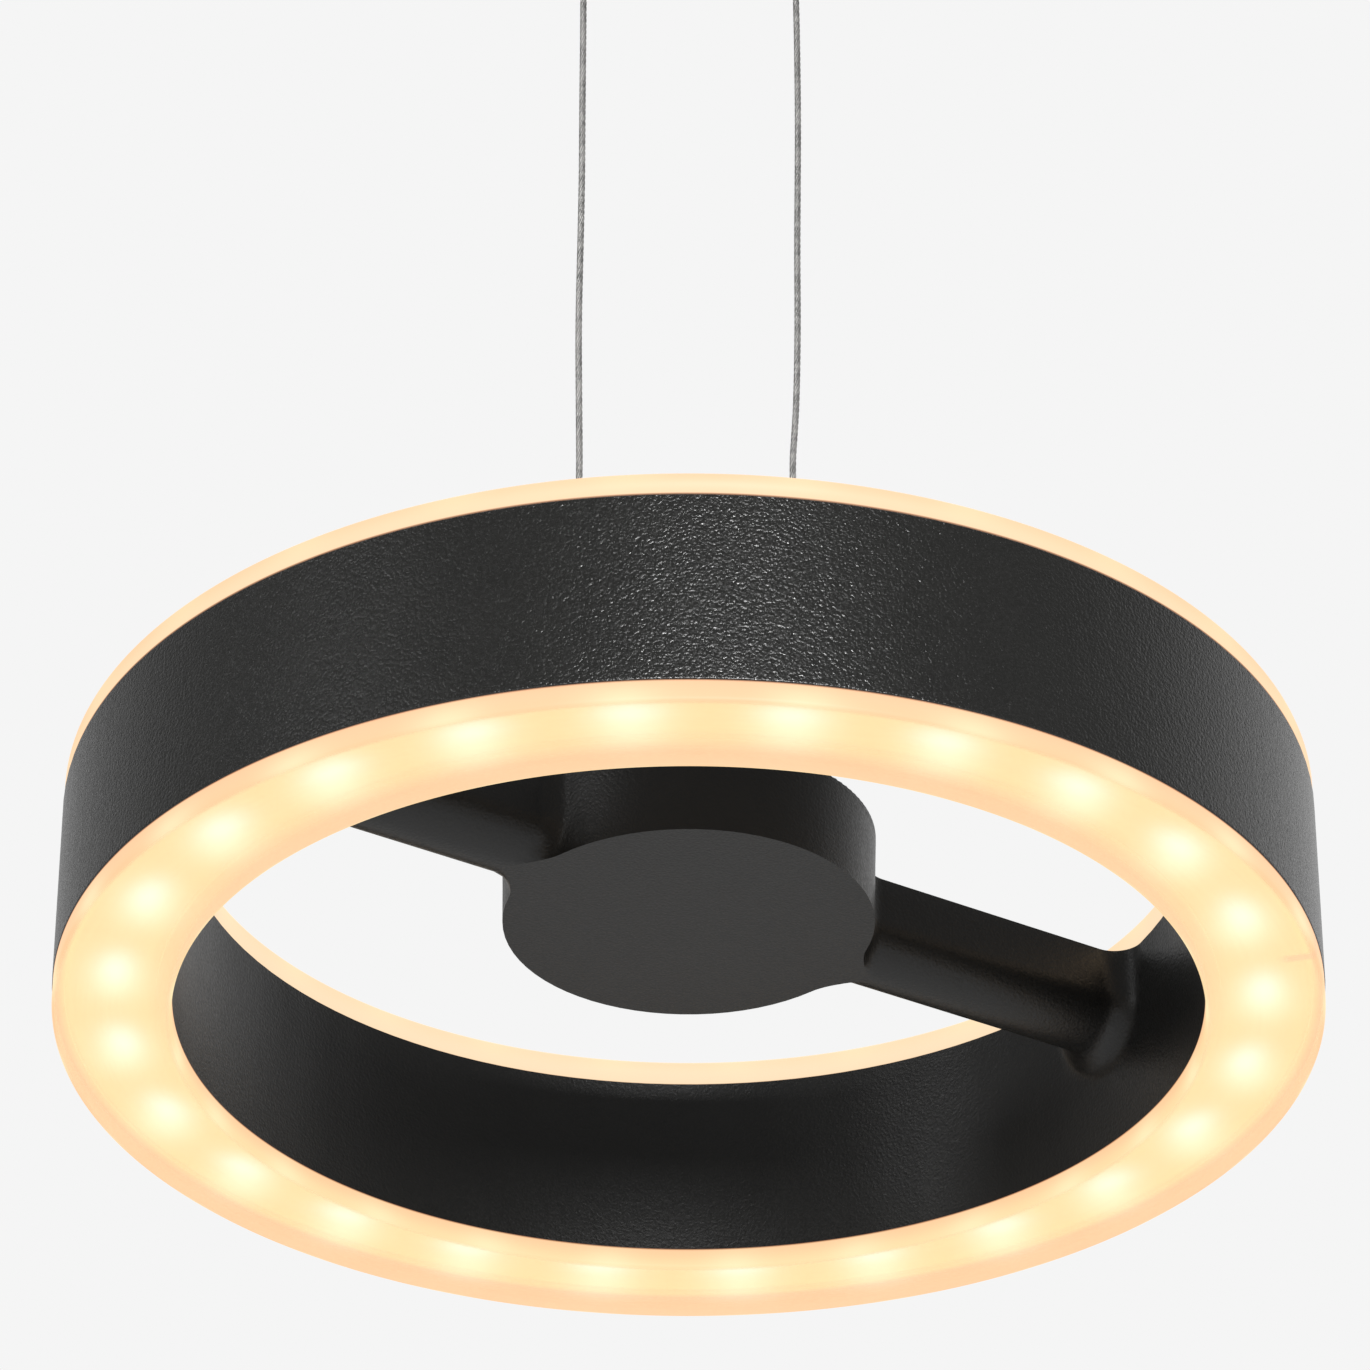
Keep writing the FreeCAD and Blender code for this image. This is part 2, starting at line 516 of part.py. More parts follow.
for side, sign in (("left", "-"), ("right", "")):
    here = f"{sign}{wire_offset}"
    shell = turned([
        ("nib_radius + nib_gap", barrel_bottom), ("barrel_radius", barrel_bottom),
        ("barrel_radius", f"{pivot} - seat_lip"), ("crown_radius", pivot),
        ("crown_radius", f"{pivot} + crown_height"), ("chamber_radius", f"{pivot} + crown_height"),
        ("chamber_radius", f"{pivot} + cone_end"), (cone_low, f"{pivot} - cone_start"),
        (cone_low, nib_seat), ("nib_radius + nib_gap", nib_seat)], (here, "0", "0"))
    head = doc.addObject("Part::Sphere", "head")
    bind(head, Radius="ball_radius")
    place(head, (here, "0", pivot))
    head_bore = cone(cone_low, "chamber_radius", "cone_start + cone_end",
                     (here, "0", f"{pivot} - cone_start"))
    head_top = rod("chamber_radius", "ball_radius", (here, "0", f"{pivot} + cone_end"))
    head_foot = rod(cone_low, "nib_stop_depth - cone_start", (here, "0", nib_seat))
    head_exit = rod("nib_radius + nib_gap", "ball_radius",
                    (here, "0", f"{pivot} - nib_stop_depth - overrun"))
    keep(f"gripper_body_{side}", join(shell, less(head, head_bore, head_top, head_foot, head_exit)))
    cap = turned([
        ("wire_passage", cap_base), ("chamber_radius - thread_gap", cap_base),
        ("chamber_radius - thread_gap", f"{pivot} + crown_height"),
        ("crown_radius", f"{pivot} + crown_height"), ("crown_radius", cap_top), ("wire_passage", cap_top)],
        (here, "0", "0"))
    keep(f"gripper_cap_{side}", rounded(cap, [("crown_radius", cap_top)], "ring_edge"))
    keep(f"gripper_cage_{side}", turned([
        ("wire_passage", cage_z), ("nib_head_radius", cage_z),
        ("chamber_radius - 2 * cage_gap", f"{cage_z} + cage_height / 2"),
        ("chamber_radius - 2 * cage_gap", f"{cage_z} + cage_height"),
        ("wire_passage", f"{cage_z} + cage_height")], (here, "0", "0")))
    print(f"gripper_spring_{side}")
    coil = doc.addObject("Part::Feature", "coil")
    coil.Shape = coil_spring(value(spring_base), value(spring_room))
    keep(f"gripper_spring_{side}", place(coil, (here, "0", "0")))
    pellet = doc.addObject("Part::Sphere", "pellet")
    bind(pellet, Radius="grip_ball_radius")
    place(pellet, (grip_reach, "0", lifted_ball))
    move = Placement(Vector(value(here), 0, 0), Rotation())
    copies(f"gripper_balls_{side}", pellet, [move.multiply(turn) for turn in turns(3)])
    nib = turned([
        ("nib_radius - nib_wall", nib_bottom), ("nib_radius", nib_bottom), ("nib_radius", nib_seat),
        ("nib_head_radius", nib_seat), ("nib_head_radius", f"{nib_seat} + nib_head_height"),
        ("nib_radius", f"{nib_seat} + nib_head_height"), ("nib_radius", nib_top),
        ("nib_radius - nib_wall", nib_top)], (here, "0", "0"))
    keep(f"release_nib_{side}", rounded(nib, [("nib_radius", nib_bottom)], "ring_edge"))

# Ring levels, from the lower edge of the black wall
ring_z = f"({plate} - hang_drop)"
ring_top = f"({ring_z} + ring_height)"
inner_top = f"({ring_top} - ring_inner_drop)"
web_base = f"({ring_z} + (ring_height - web_thickness) / 2)"
web_top = f"({web_base} + web_thickness)"
hub_z = f"({inner_top} - hub_height)"
hub_inside = f"({hub_z} + hub_floor)"
arm_axis = f"({hub_z} + arm_lift + arm_half_width)"
cavity_in = f"({ring_bore} + ring_bore_flare + ring_wall)"
cavity_out = "(ring_radius - ring_wall)"
cover_top = f"({inner_top} + hub_cover_thickness)"
anchor_z = f"({hub_inside} + anchor_lift)"

# Suspension wires: straight and tight, from the stop in the canopy to the ball end in the hub
end_ball_z = f"({anchor_z} + end_ball_lift)"
stop_base = f"({cap_top} + stop_lift)"
wire_foot = f"({end_ball_z} - end_ball_radius)"
wire_top = f"({stop_base} + stop_height)"
for side, sign in (("left", "-"), ("right", "")):
    keep(f"suspension_wire_{side}", rod(
        "wire_radius", f"{wire_top} - {wire_foot}", (f"{sign}{wire_offset}", "0", wire_foot)))
stop = turned([("wire_radius", stop_base), ("stop_radius", stop_base), ("stop_radius", wire_top),
               ("wire_radius", wire_top)])
copies("wire_stops", rounded(stop, [("stop_radius", stop_base), ("stop_radius", wire_top)], "ring_edge"),
       both_wires())
ball = doc.addObject("Part::Sphere", "end_ball")
bind(ball, Radius="end_ball_radius")
place(ball, ("0", "0", end_ball_z))
bored_ball = less(ball, rod("wire_radius", "2 * (end_ball_radius + overrun)",
                            ("0", "0", f"{wire_foot} - overrun")))
copies("wire_end_balls", bored_ball, both_wires())

# Ring casting: a channel-shaped ring, a bridge and a hub, cast in one
section = turned([
    ("ring_radius", ring_z), ("ring_radius", ring_top), (cavity_out, ring_top), (cavity_out, web_top),
    (cavity_in, web_top), (cavity_in, inner_top), (ring_bore, inner_top),
    (f"{ring_bore} + ring_bore_flare", ring_z), (cavity_in, ring_z), (cavity_in, web_base),
    (cavity_out, web_base), (cavity_out, ring_z)])
rounded(section, [("ring_radius", ring_z), ("ring_radius", ring_top)], "ring_edge")
hub_foot = f"({hub_z} - hub_floor - arm_blend)"
hub_blank = join(
    rod("hub_radius", "hub_floor + arm_blend", ("0", "0", hub_foot)),
    cone("hub_radius", "hub_radius + hub_flare", f"{inner_top} - {hub_z}", ("0", "0", hub_z)))
arm_reach = f"({ring_bore} + arm_bite)"
arm_blank = join(
    block(middle(arm_reach), middle("arm_half_width"), (arm_axis, f"{inner_top} - {arm_axis}")),
    rod("arm_half_width", f"2 * {arm_reach}", (f"-{arm_reach}", "0", arm_axis), "x"))
casting_blank = join(section, hub_blank, arm_blank)
doc.recompute()


def crossing_edges(shape):
    """The edges where the bridge meets the ring and the hub, above the hub's underside."""
    picked = []
    wide = value("arm_half_width") + value("thread_gap")
    for number, edge in enumerate(shape.Edges, start=1):
        low, high = edge.BoundBox.ZMin, edge.BoundBox.ZMax
        across = max(abs(edge.BoundBox.YMin), abs(edge.BoundBox.YMax))
        near = min(abs(edge.BoundBox.XMin), abs(edge.BoundBox.XMax))
        far = max(abs(edge.BoundBox.XMin), abs(edge.BoundBox.XMax))
        level = high - low < value("thread_gap")
        along = far - near > value("arm_half_width")
        inside = near > value("hub_radius / 2") and far < value(arm_reach)
        if across < wide and inside and not level and not along and low > value(hub_z) - value("hub_floor"):
            picked.append((number, value("arm_blend"), value("arm_blend")))
    print("crossing edges", len(picked))
    return picked


blends = doc.addObject("Part::Fillet", "blends")
blends.Base = casting_blank
blends.Edges = crossing_edges(casting_blank.Shape)
under_cut = rod(f"(hub_radius + {ring_bore}) / 2", "arm_blend + hub_floor + overrun",
                ("0", "0", f"{hub_foot} - overrun"))
outer_casting = less(blends, under_cut)

# Hollow of the hub with its bosses, the two channels of the bridge, and the holes for leads and screws
hub_depth = f"{inner_top} - {hub_inside}"
boss_places = [("0", f"{sign}(hub_radius - cover_screw_inset)") for sign in ("-", "")]
post_places = [(f"{sign}anchor_screw_place", "0") for sign in ("-", "")]
bosses = [rod("boss_radius", hub_depth, (x, y, hub_inside)) for x, y in boss_places]
bosses += [rod("boss_radius", "anchor_lift", (x, y, hub_inside))
           for x, y in post_places]
hub_hollow = less(rod("hub_radius - hub_wall", f"{hub_depth} + overrun", ("0", "0", hub_inside)), *bosses)
channel_base = f"({hub_z} + channel_floor)"
channel_reach = f"({ring_bore} - channel_end)"
channel_run = f"{channel_reach} - hub_radius + hub_wall + overrun"
rebate_base = f"({inner_top} - arm_cover_thickness)"
hollows = [hub_hollow]
for start in ("hub_radius - hub_wall - overrun", f"-{channel_reach}"):
    hollows.append(block((start, channel_run), middle("channel_half_width"),
                         (channel_base, f"{inner_top} - {channel_base} + overrun")))
    hollows.append(block((start, channel_run), middle("arm_cover_half_width + arm_cover_gap"),
                         (rebate_base, "arm_cover_thickness + overrun")))
grommet_z = f"({ring_top} - grommet_drop)"
hollows.append(rod("grommet_radius", f"2 * ({cavity_in} + overrun)",
                   (f"-({cavity_in} + overrun)", "0", grommet_z), "x"))
for x, y in boss_places:
    hollows.append(rod("cover_screw_radius + thread_gap", "cover_screw_length + overrun",
                       (x, y, f"{cover_top} - cover_screw_length")))
anchor_top = f"({anchor_z} + anchor_height)"
anchor_screw_foot = f"({anchor_top} - anchor_head_height - anchor_screw_length)"
for x, y in post_places:
    hollows.append(rod("cover_screw_radius + thread_gap", "anchor_screw_length + overrun",
                       (x, y, anchor_screw_foot)))
web_cut = ("web_thickness + 2 * overrun", f"{web_base} - overrun")
link_place = f"({cavity_out} - link_inset)"
board_screw_circle = f"({cavity_out} - board_screw_inset)"
for sign in ("-", ""):
    hollows.append(rod("link_radius + link_clear", web_cut[0], (f"{sign}{link_place}", "0", web_cut[1])))
screw_hole = rod("board_screw_radius + thread_gap", web_cut[0], (board_screw_circle, "0", web_cut[1]))
doc.recompute()
screws_wanted = int(value("board_screw_count"))
lamps_wanted = int(value("lamp_count"))
lamp_step = 360.0 / lamps_wanted
upper_start = 2 * lamp_step
lower_start = 3 * lamp_step
holes = doc.addObject("Part::Feature", "screw_holes")
holes.Shape = Part.makeCompound([
    screw_hole.Shape.transformed(move.toMatrix(), True)
    for move in turns(screws_wanted, upper_start) + turns(screws_wanted, lower_start)])
casting = less(less(outer_casting, *hollows), holes)
keep("ring_frame", casting)

# Covers over the bridge's channels
cover_start = "(hub_radius - hub_wall + overrun)"
cover_run = f"{channel_reach} - {cover_start}"
for side, start in (("left", f"-{channel_reach}"), ("right", cover_start)):
    keep(f"bridge_cover_{side}", block((start, cover_run), middle("arm_cover_half_width"),
                                       (rebate_base, "arm_cover_thickness")))

# Hub cover with two countersunk screws and a bushing round each wire
cover_disc = turned([("0", inner_top), ("hub_radius + hub_flare", inner_top),
                     ("hub_radius + hub_flare", cover_top), ("0", cover_top)])
rounded(cover_disc, [("hub_radius + hub_flare", cover_top)], "hub_cover_edge")
cover_cuts = []
for x, y in boss_places:
    cover_cuts.append(rod("cover_screw_radius + hole_gap", "hub_cover_thickness + 2 * overrun",
                          (x, y, f"{inner_top} - overrun")))
    cover_cuts.append(cone("cover_screw_radius + hole_gap", "cover_head_radius + thread_gap",
                           "cover_head_height", (x, y, f"{cover_top} - cover_head_height")))
for sign in ("-", ""):
    cover_cuts.append(rod("bushing_radius + bushing_gap", "hub_cover_thickness + 2 * overrun",
                          (f"{sign}{wire_offset}", "0", f"{inner_top} - overrun")))
keep("hub_cover", less(cover_disc, *cover_cuts))
cover_screw = less(
    join(rod("cover_screw_radius", "cover_screw_length", ("0", "0", f"{cover_top} - cover_screw_length")),
         cone("cover_screw_radius", "cover_head_radius", "cover_head_height",
              ("0", "0", f"{cover_top} - cover_head_height"))),
    polygon_bar("2 * drive_radius", "drive_depth + overrun", ("0", "0", f"{cover_top} - drive_depth")))
copies("hub_cover_screws", cover_screw, shifts(*[(x, y, "0") for x, y in boss_places]))
bushing_foot = f"({inner_top} - bushing_lap)"
bushing_top = f"({cover_top} + bushing_flange)"
bushing = turned([
    ("bushing_bore_low", bushing_foot), ("bushing_radius", bushing_foot), ("bushing_radius", cover_top),
    ("bushing_flange_radius", cover_top), ("bushing_flange_radius", bushing_top),
    ("bushing_bore_high", bushing_top)])
copies("wire_bushings", rounded(bushing, [("bushing_flange_radius", bushing_top)], "ring_edge"),
       both_wires())

# Anchor block on the hub's posts, with a live socket for each wire's ball end
socket_bores = [rod("socket_radius + socket_gap", "anchor_height", (f"{sign}{wire_offset}", "0", anchor_z))
                for sign in ("-", "")]
anchor_holes = []
for x, y in post_places:
    anchor_holes.append(rod("cover_screw_radius + hole_gap", "anchor_height", (x, y, anchor_z)))
    anchor_holes.append(rod("anchor_head_radius + hole_gap", "anchor_head_height",
                            (x, y, f"{anchor_top} - anchor_head_height")))
keep("anchor_block", less(block(middle("hub_radius - hub_wall - anchor_end_gap"), middle("anchor_half_width"),
                                (anchor_z, "anchor_height")), *socket_bores, *anchor_holes))
anchor_screw = less(
    join(rod("cover_screw_radius", "anchor_screw_length", ("0", "0", anchor_screw_foot)),
         rod("anchor_head_radius", "anchor_head_height", ("0", "0", f"{anchor_top} - anchor_head_height"))),
    polygon_bar("2 * drive_radius", "drive_depth", ("0", "0", f"{anchor_top} - drive_depth")))
copies("anchor_screws", anchor_screw, shifts(*[(x, y, "0") for x, y in post_places]))
socket_foot = f"({anchor_z} - socket_plate)"
rise = "sqrt((end_ball_radius + end_ball_gap) ^ 2 - socket_opening ^ 2)"
socket_body = join(
    rod("socket_radius", "anchor_height", ("0", "0", anchor_z)),
    block(("-(socket_radius + overrun)",
           f"socket_radius + overrun + hub_radius - hub_wall - socket_plate_gap - {wire_offset}"),
          middle("socket_plate_half_width"), (socket_foot, "socket_plate")))
well = rod("socket_well", f"{end_ball_z} - {socket_foot}", ("0", "0", socket_foot))
dome = doc.addObject("Part::Sphere", "dome")
bind(dome, Radius="end_ball_radius + end_ball_gap")
place(dome, ("0", "0", end_ball_z))
neck = cone("socket_opening", "socket_mouth", f"{anchor_top} - {end_ball_z} - {rise}",
            ("0", "0", f"{end_ball_z} + {rise}"))
socket = less(socket_body, well, dome, neck)
doc.recompute()
copies("anchor_sockets", socket, [
    Placement(Vector(value(wire_offset), 0, 0), Rotation()),
    Placement(Vector(-value(wire_offset), 0, 0), Rotation(Vector(0, 0, 1), 180))])

# Lamp boards on both sides of the web, with their lamps, screws and links
lower_board_z = f"({web_base} - board_thickness)"
upper_face = f"({web_top} + board_thickness)"
for side, level, start in (("lower", lower_board_z, lower_start), ("upper", web_top, upper_start)):
    ring_board = tube(f"{cavity_out} - board_gap", f"{cavity_in} + board_gap", "board_thickness",
                      ("0", "0", level))
    link_holes = [rod("link_radius + link_gap", "board_thickness", (f"{sign}{link_place}", "0", level))
                  for sign in ("-", "")]
    screw_way = rod("board_screw_radius + hole_gap", "board_thickness", (board_screw_circle, "0", level))
    doc.recompute()
    ways = doc.addObject("Part::Feature", "screw_ways")
    ways.Shape = Part.makeCompound([
        screw_way.Shape.transformed(move.toMatrix(), True) for move in turns(screws_wanted, start)])
    keep(f"lamp_board_{side}", less(less(ring_board, *link_holes), ways))
lamp_start = lamp_step / 2
lamp_levels = {"lower": f"{lower_board_z} - lamp_height", "upper": upper_face}
for side, level in lamp_levels.items():
    lamp = block(("ring_radius - lamp_inset - lamp_width / 2", "lamp_width"), middle("lamp_length / 2"),
                 (level, "lamp_height"))
    copies(f"lamps_{side}", lamp, turns(lamps_wanted, lamp_start))
screw_ends = {
    "lower": (f"{lower_board_z}", f"{lower_board_z} - board_screw_head", lower_start),
    "upper": (f"{upper_face} - board_thickness - board_screw_bite", upper_face, upper_start)}
for side, (shank_z, head_z, start) in screw_ends.items():
    board_screw = join(
        rod("board_screw_radius", "board_thickness + board_screw_bite", (board_screw_circle, "0", shank_z)),
        rod("board_screw_head_radius", "board_screw_head", (board_screw_circle, "0", head_z)))
    copies(f"board_screws_{side}", board_screw, turns(screws_wanted, start))
link = rod("link_radius", f"{upper_face} - {lower_board_z} + 2 * link_stand_out",
           (link_place, "0", f"{lower_board_z} - link_stand_out"))
copies("board_links", link, turns(2))

# Diffusers: a thick band outside, with two legs that press in between the walls
leg_out = f"({cavity_out} - diffuser_leg_gap)"
leg_in = f"({cavity_in} + diffuser_leg_gap)"
diffuser_radius = "(ring_radius - diffuser_inset)"
diffuser_bore = f"({ring_bore} + diffuser_bore_inset)"


def diffuser(label, outer_edge, inner_edge, face, inward):
    """One diffuser. Its band lies outside the walls' edges, and inward is the way to the web."""
    root = f"({face} {inward} diffuser_floor)"
    body = turned([
        (diffuser_bore, face), (diffuser_radius, face), (diffuser_radius, outer_edge),
        (leg_out, outer_edge), (leg_out, f"{outer_edge} {inward} diffuser_leg_depth"),
        (f"{leg_out} - diffuser_leg", f"{outer_edge} {inward} diffuser_leg_depth"),
        (f"{leg_out} - diffuser_leg", root), (f"{leg_in} + diffuser_leg", root),
        (f"{leg_in} + diffuser_leg", f"{inner_edge} {inward} diffuser_leg_depth"),
        (leg_in, f"{inner_edge} {inward} diffuser_leg_depth"), (leg_in, inner_edge),
        (diffuser_bore, inner_edge)])
    keep(label, rounded(body, [(diffuser_radius, face), (diffuser_bore, face)], "diffuser_edge"))


diffuser("diffuser_lower", ring_z, ring_z, f"({ring_z} - lower_stand_out)", "+")
diffuser("diffuser_upper", ring_top, inner_top, f"({ring_top} + upper_stand_out)", "-")

# Leads: mains and earth in the canopy, two output leads, and one lead through each side of the bridge
terminal_back = "-terminal_setback"
lead_z = f"{shelf} + mains_lead_rise"
leads("mains_leads", [
    [(x, terminal_back, f"{shelf} + terminal_height / 2"),
     (x, "-terminal_setback / 2", f"{shelf} + terminal_height / 2"),
     (x, "driver_setback / 2", lead_z), (x, "driver_setback", lead_z)]
    for x in ("-pole_pitch", "0")], "mains_lead_radius")
earth_end = "-earth_setback - earth_tag_length + earth_tag_width"
leads("earth_lead", [[
    ("pole_pitch", terminal_back, f"{shelf} + terminal_height / 2"),
    ("pole_pitch", f"{earth_end}", f"{shelf} + terminal_height / 2"),
    ("earth_place", f"{earth_end}", f"{shelf} + terminal_height"), ("earth_place", earth_end, tag_top)]],
    "mains_lead_radius")
leads("output_leads", [
    [(x, "driver_setback", f"{plate} + output_lead_rise"), (x, "0", f"{plate} + output_lead_rise"),
     (x, "0", nut_base)]
    for x in (f"-({wire_offset} - output_lead_setback)", f"{wire_offset} - output_lead_setback")],
    "output_lead_radius")
low = f"{hub_inside} + arm_lead_lift"
lead_stops = [f"({wire_offset} + arm_lead_shift)", "(hub_radius + arm_lead_dip_run)",
              f"({ring_bore} - arm_lead_rise_run)", f"({cavity_in} + arm_lead_landing)"]
leads("bridge_leads", [
    [(f"{sign}{lead_stops[0]}", "0", socket_foot), (f"{sign}{lead_stops[0]}", "0", low),
     (f"{sign}{lead_stops[1]}", "0", low), (f"{sign}{lead_stops[2]}", "0", grommet_z),
     (f"{sign}{lead_stops[3]}", "0", grommet_z), (f"{sign}{lead_stops[3]}", "0", upper_face)]
    for sign in ("-", "")], "arm_lead_radius")
grommet = less(
    join(rod("grommet_radius", f"{cavity_in} - {channel_reach}", (channel_reach, "0", grommet_z), "x"),
         rod("grommet_flange_radius", "grommet_flange",
             (f"{channel_reach} - grommet_flange", "0", grommet_z), "x"),
         rod("grommet_flange_radius", "grommet_flange", (cavity_in, "0", grommet_z), "x")),
    rod("arm_lead_radius", f"2 * {cavity_in}", ("0", "0", grommet_z), "x"))
copies("lead_grommets", grommet, turns(2))

# Check every object, then write each sub-part
doc.recompute()
for thing in doc.Objects:
    if "Invalid" in thing.State or "Error" in thing.State:
        raise RuntimeError(f"{thing.Name} {thing.Label}: {thing.State}")
os.makedirs("parts", exist_ok=True)
for thing in nodes:
    if thing.Shape.isNull() or not thing.Shape.isValid() or not thing.Shape.Solids:
        raise RuntimeError(f"{thing.Label} has no valid solid")
for thing in nodes:
    thing.Shape.exportStep(f"parts/{thing.Label}.step")
    box = thing.Shape.BoundBox
    print(f"{thing.Label:26s} solids {len(thing.Shape.Solids):3d} volume {thing.Shape.Volume:12.2f}"
          f"  z {box.ZMin:8.2f} {box.ZMax:8.2f}")
print("sub-parts", len(nodes))
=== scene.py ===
# %% [markdown]
# # A ring pendant light
# A flat black ring, lit on both faces, hangs on two bare stranded wires. The wires carry extra-low
# voltage from a canopy at the ceiling, through a hub in the middle of a bridge, to the lamps in the ring.
# The solids come from the imported model. This script keeps them where they are, gives each its finish,
# and makes again the pieces whose surface needs more than the solids hold.
# The first cell loads the model, moves each solid's place into its mesh, and removes the empties.

# %% Load the frame
import math
import bmesh
import bpy
import numpy as np
from mathutils import Matrix


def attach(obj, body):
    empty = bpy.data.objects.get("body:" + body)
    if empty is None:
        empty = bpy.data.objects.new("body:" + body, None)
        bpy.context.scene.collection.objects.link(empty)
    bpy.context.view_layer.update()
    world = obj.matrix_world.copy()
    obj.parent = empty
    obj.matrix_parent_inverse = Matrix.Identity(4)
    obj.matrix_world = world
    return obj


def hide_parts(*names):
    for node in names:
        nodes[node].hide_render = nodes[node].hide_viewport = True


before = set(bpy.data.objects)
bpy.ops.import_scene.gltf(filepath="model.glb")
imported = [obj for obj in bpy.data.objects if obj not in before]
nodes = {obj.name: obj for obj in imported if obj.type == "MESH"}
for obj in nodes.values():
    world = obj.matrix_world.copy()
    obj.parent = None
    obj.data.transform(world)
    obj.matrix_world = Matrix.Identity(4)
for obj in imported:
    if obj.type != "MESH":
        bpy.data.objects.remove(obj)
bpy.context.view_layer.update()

# %% [markdown]
# ## The camera
# The photograph looks up at the ring from below, 29 degrees above the floor's plane. The lens and the
# place were found by fitting the ring's four circles. The ring's radius is the unit of that fit, and the
# lower edge of its black wall is the height zero. The bridge stands 32 degrees off the camera's own axes.

# %% Camera
RING_RADIUS = 0.110
WALL_LOWER_EDGE = -0.314
BRIDGE_TURN = math.radians(-32)


def turned(across, away):
    """A direction given across the view and away from the camera, turned into the light's own axes."""
    c, s = math.cos(BRIDGE_TURN), math.sin(BRIDGE_TURN)
    return c * across - s * away, s * across + c * away


distance, rise = 9.66596, math.radians(28.964)  # in ring radii, and up from the floor's plane
yaw, pitch, roll = -0.00062, 0.05397, 0.00087  # the small turns that are left, in radians
straight = np.array([0, math.cos(rise), math.sin(rise)])
aside = np.array([1.0, 0, 0])
forward = straight + aside * math.tan(yaw) + np.cross(aside, straight) * math.tan(pitch)
forward /= np.linalg.norm(forward)
side = np.cross(forward, (0, 0, 1))
side /= np.linalg.norm(side)
over = np.cross(side, forward)
right = math.cos(roll) * side + math.sin(roll) * over
upward = -math.sin(roll) * side + math.cos(roll) * over
eye = np.array([0, -distance * math.cos(rise), -distance * math.sin(rise)]) * RING_RADIUS
columns = [(*turned(v[0], v[1]), v[2]) for v in (right, upward, -forward, eye)]
place = np.eye(4)
place[:3, :] = np.array(columns).T
place[2, 3] += WALL_LOWER_EDGE
lens = bpy.data.cameras.new("photo_camera")
lens.sensor_width, lens.lens = 36, 160.914  # mm
lens.clip_start, lens.clip_end = 0.05, 100
camera = bpy.data.objects.new("photo_camera", lens)
camera.matrix_world = Matrix(place.tolist())
bpy.context.scene.collection.objects.link(camera)
bpy.context.scene.camera = camera
bpy.context.scene.view_settings.view_transform = "Standard"
print("camera at", [round(float(v), 3) for v in place[:3, 3]])

# %% [markdown]
# ## Shader maths in plain Python
# A finish is a small program of nodes: each has settings, and sockets that hold a number or are linked to
# another node's output. Every node in this script is made by one function, so that a value and a link are
# written the same way.

# %% One node
def add_node(tree, kind, settings=None, values=None, output=0):
    """Adds one node: its settings first, then its sockets' values or links."""
    made = tree.nodes.new(kind)
    for name, value in (settings or {}).items():
        setattr(made, name, value)
    for name, value in (values or {}).items():
        if isinstance(value, Field):
            tree.links.new(value.socket, made.inputs[name])
        else:
            made.inputs[name].default_value = value
    return Field(tree, made.outputs[output])


print("nodes are made by", add_node.__name__)

# %% [markdown]
# Wiring sums by hand hides the thought. So an output socket is wrapped in a class on which plus, minus,
# times and the rest add the Math nodes, also with a plain number in front. One method adds any other node.

# %% A socket that does sums
class Field:
    """A number, colour or vector that varies over a surface: an output socket of a finish's nodes."""

    def __init__(self, tree, socket):
        self.tree, self.socket = tree, socket

    def node(self, kind, settings=None, values=None, output=0):
        return add_node(self.tree, kind, settings, values, output)

    def sum_of(self, operation, *values):
        return self.node("ShaderNodeMath", {"operation": operation}, dict(enumerate(values)))

    def __add__(self, other):
        return self.sum_of("ADD", self, other)

    def __sub__(self, other):
        return self.sum_of("SUBTRACT", self, other)

    def __rsub__(self, other):
        return self.sum_of("SUBTRACT", other, self)

    def __mul__(self, other):
        return self.sum_of("MULTIPLY", self, other)

    def __truediv__(self, other):
        return self.sum_of("DIVIDE", self, other)

    def __rtruediv__(self, other):
        return self.sum_of("DIVIDE", other, self)

    def __pow__(self, other):
        return self.sum_of("POWER", self, other)

    def __abs__(self):
        return self.sum_of("ABSOLUTE", self)

    __radd__, __rmul__ = __add__, __mul__

    def sine(self):
        return self.sum_of("SINE", self)

    def cosine(self):
        return self.sum_of("COSINE", self)

    def fraction(self):
        return self.sum_of("FRACT", self)

    def exponential(self):
        return self.sum_of("EXPONENT", self)

    def step(self, low, high, first=0.0, last=1.0):
        """first below low, last above high, between them a smooth S: 3 t squared minus 2 t cubed."""
        spots = {"Value": self, "From Min": low, "From Max": high, "To Min": first, "To Max": last}
        return self.node("ShaderNodeMapRange", {"interpolation_type": "SMOOTHSTEP"}, spots)

    def blend(self, here, there):
        """The colour here where this field is 0, and the colour there where it is 1."""
        spots = {0: self, 6: here, 7: there}
        return self.node("ShaderNodeMix", {"data_type": "RGBA"}, spots, 2)

    def vector(self, operation, *values, output=0):
        return self.node("ShaderNodeVectorMath", {"operation": operation}, dict(enumerate(values)), output)


print("fields can be added, multiplied, stepped and blended")

# %% [markdown]
# ## A finish
# Every finish here is one Principled shader. What is the same all over is a value on the shader, and what
# varies is a field. Places are read in millimetres from Object coordinates, because each piece's object
# sits at the origin and its place is in its mesh, so a pattern has the same size on every piece.

# %% Colours, places and the shader
def rgb(red, green, blue):
    """A colour in linear light, as a shader wants it."""
    return (red, green, blue, 1.0)


def seen(red, green, blue):
    """A colour read off a picture, 0 to 255, in linear light: its share to the power 2.4, nearly."""
    part = np.array([red, green, blue]) / 255
    light = np.where(part <= 0.04045, part / 12.92, ((part + 0.055) / 1.055) ** 2.4)
    return rgb(*light.tolist())


def new_finish(name):
    """An empty finish, its tree, and the place on the piece in millimetres."""
    finish = bpy.data.materials.new(name)
    finish.use_nodes = True
    tree = finish.node_tree
    tree.nodes.clear()
    spot = add_node(tree, "ShaderNodeTexCoord", output="Object")
    return finish, tree, scaled(spot, (1000.0, 1000.0, 1000.0))


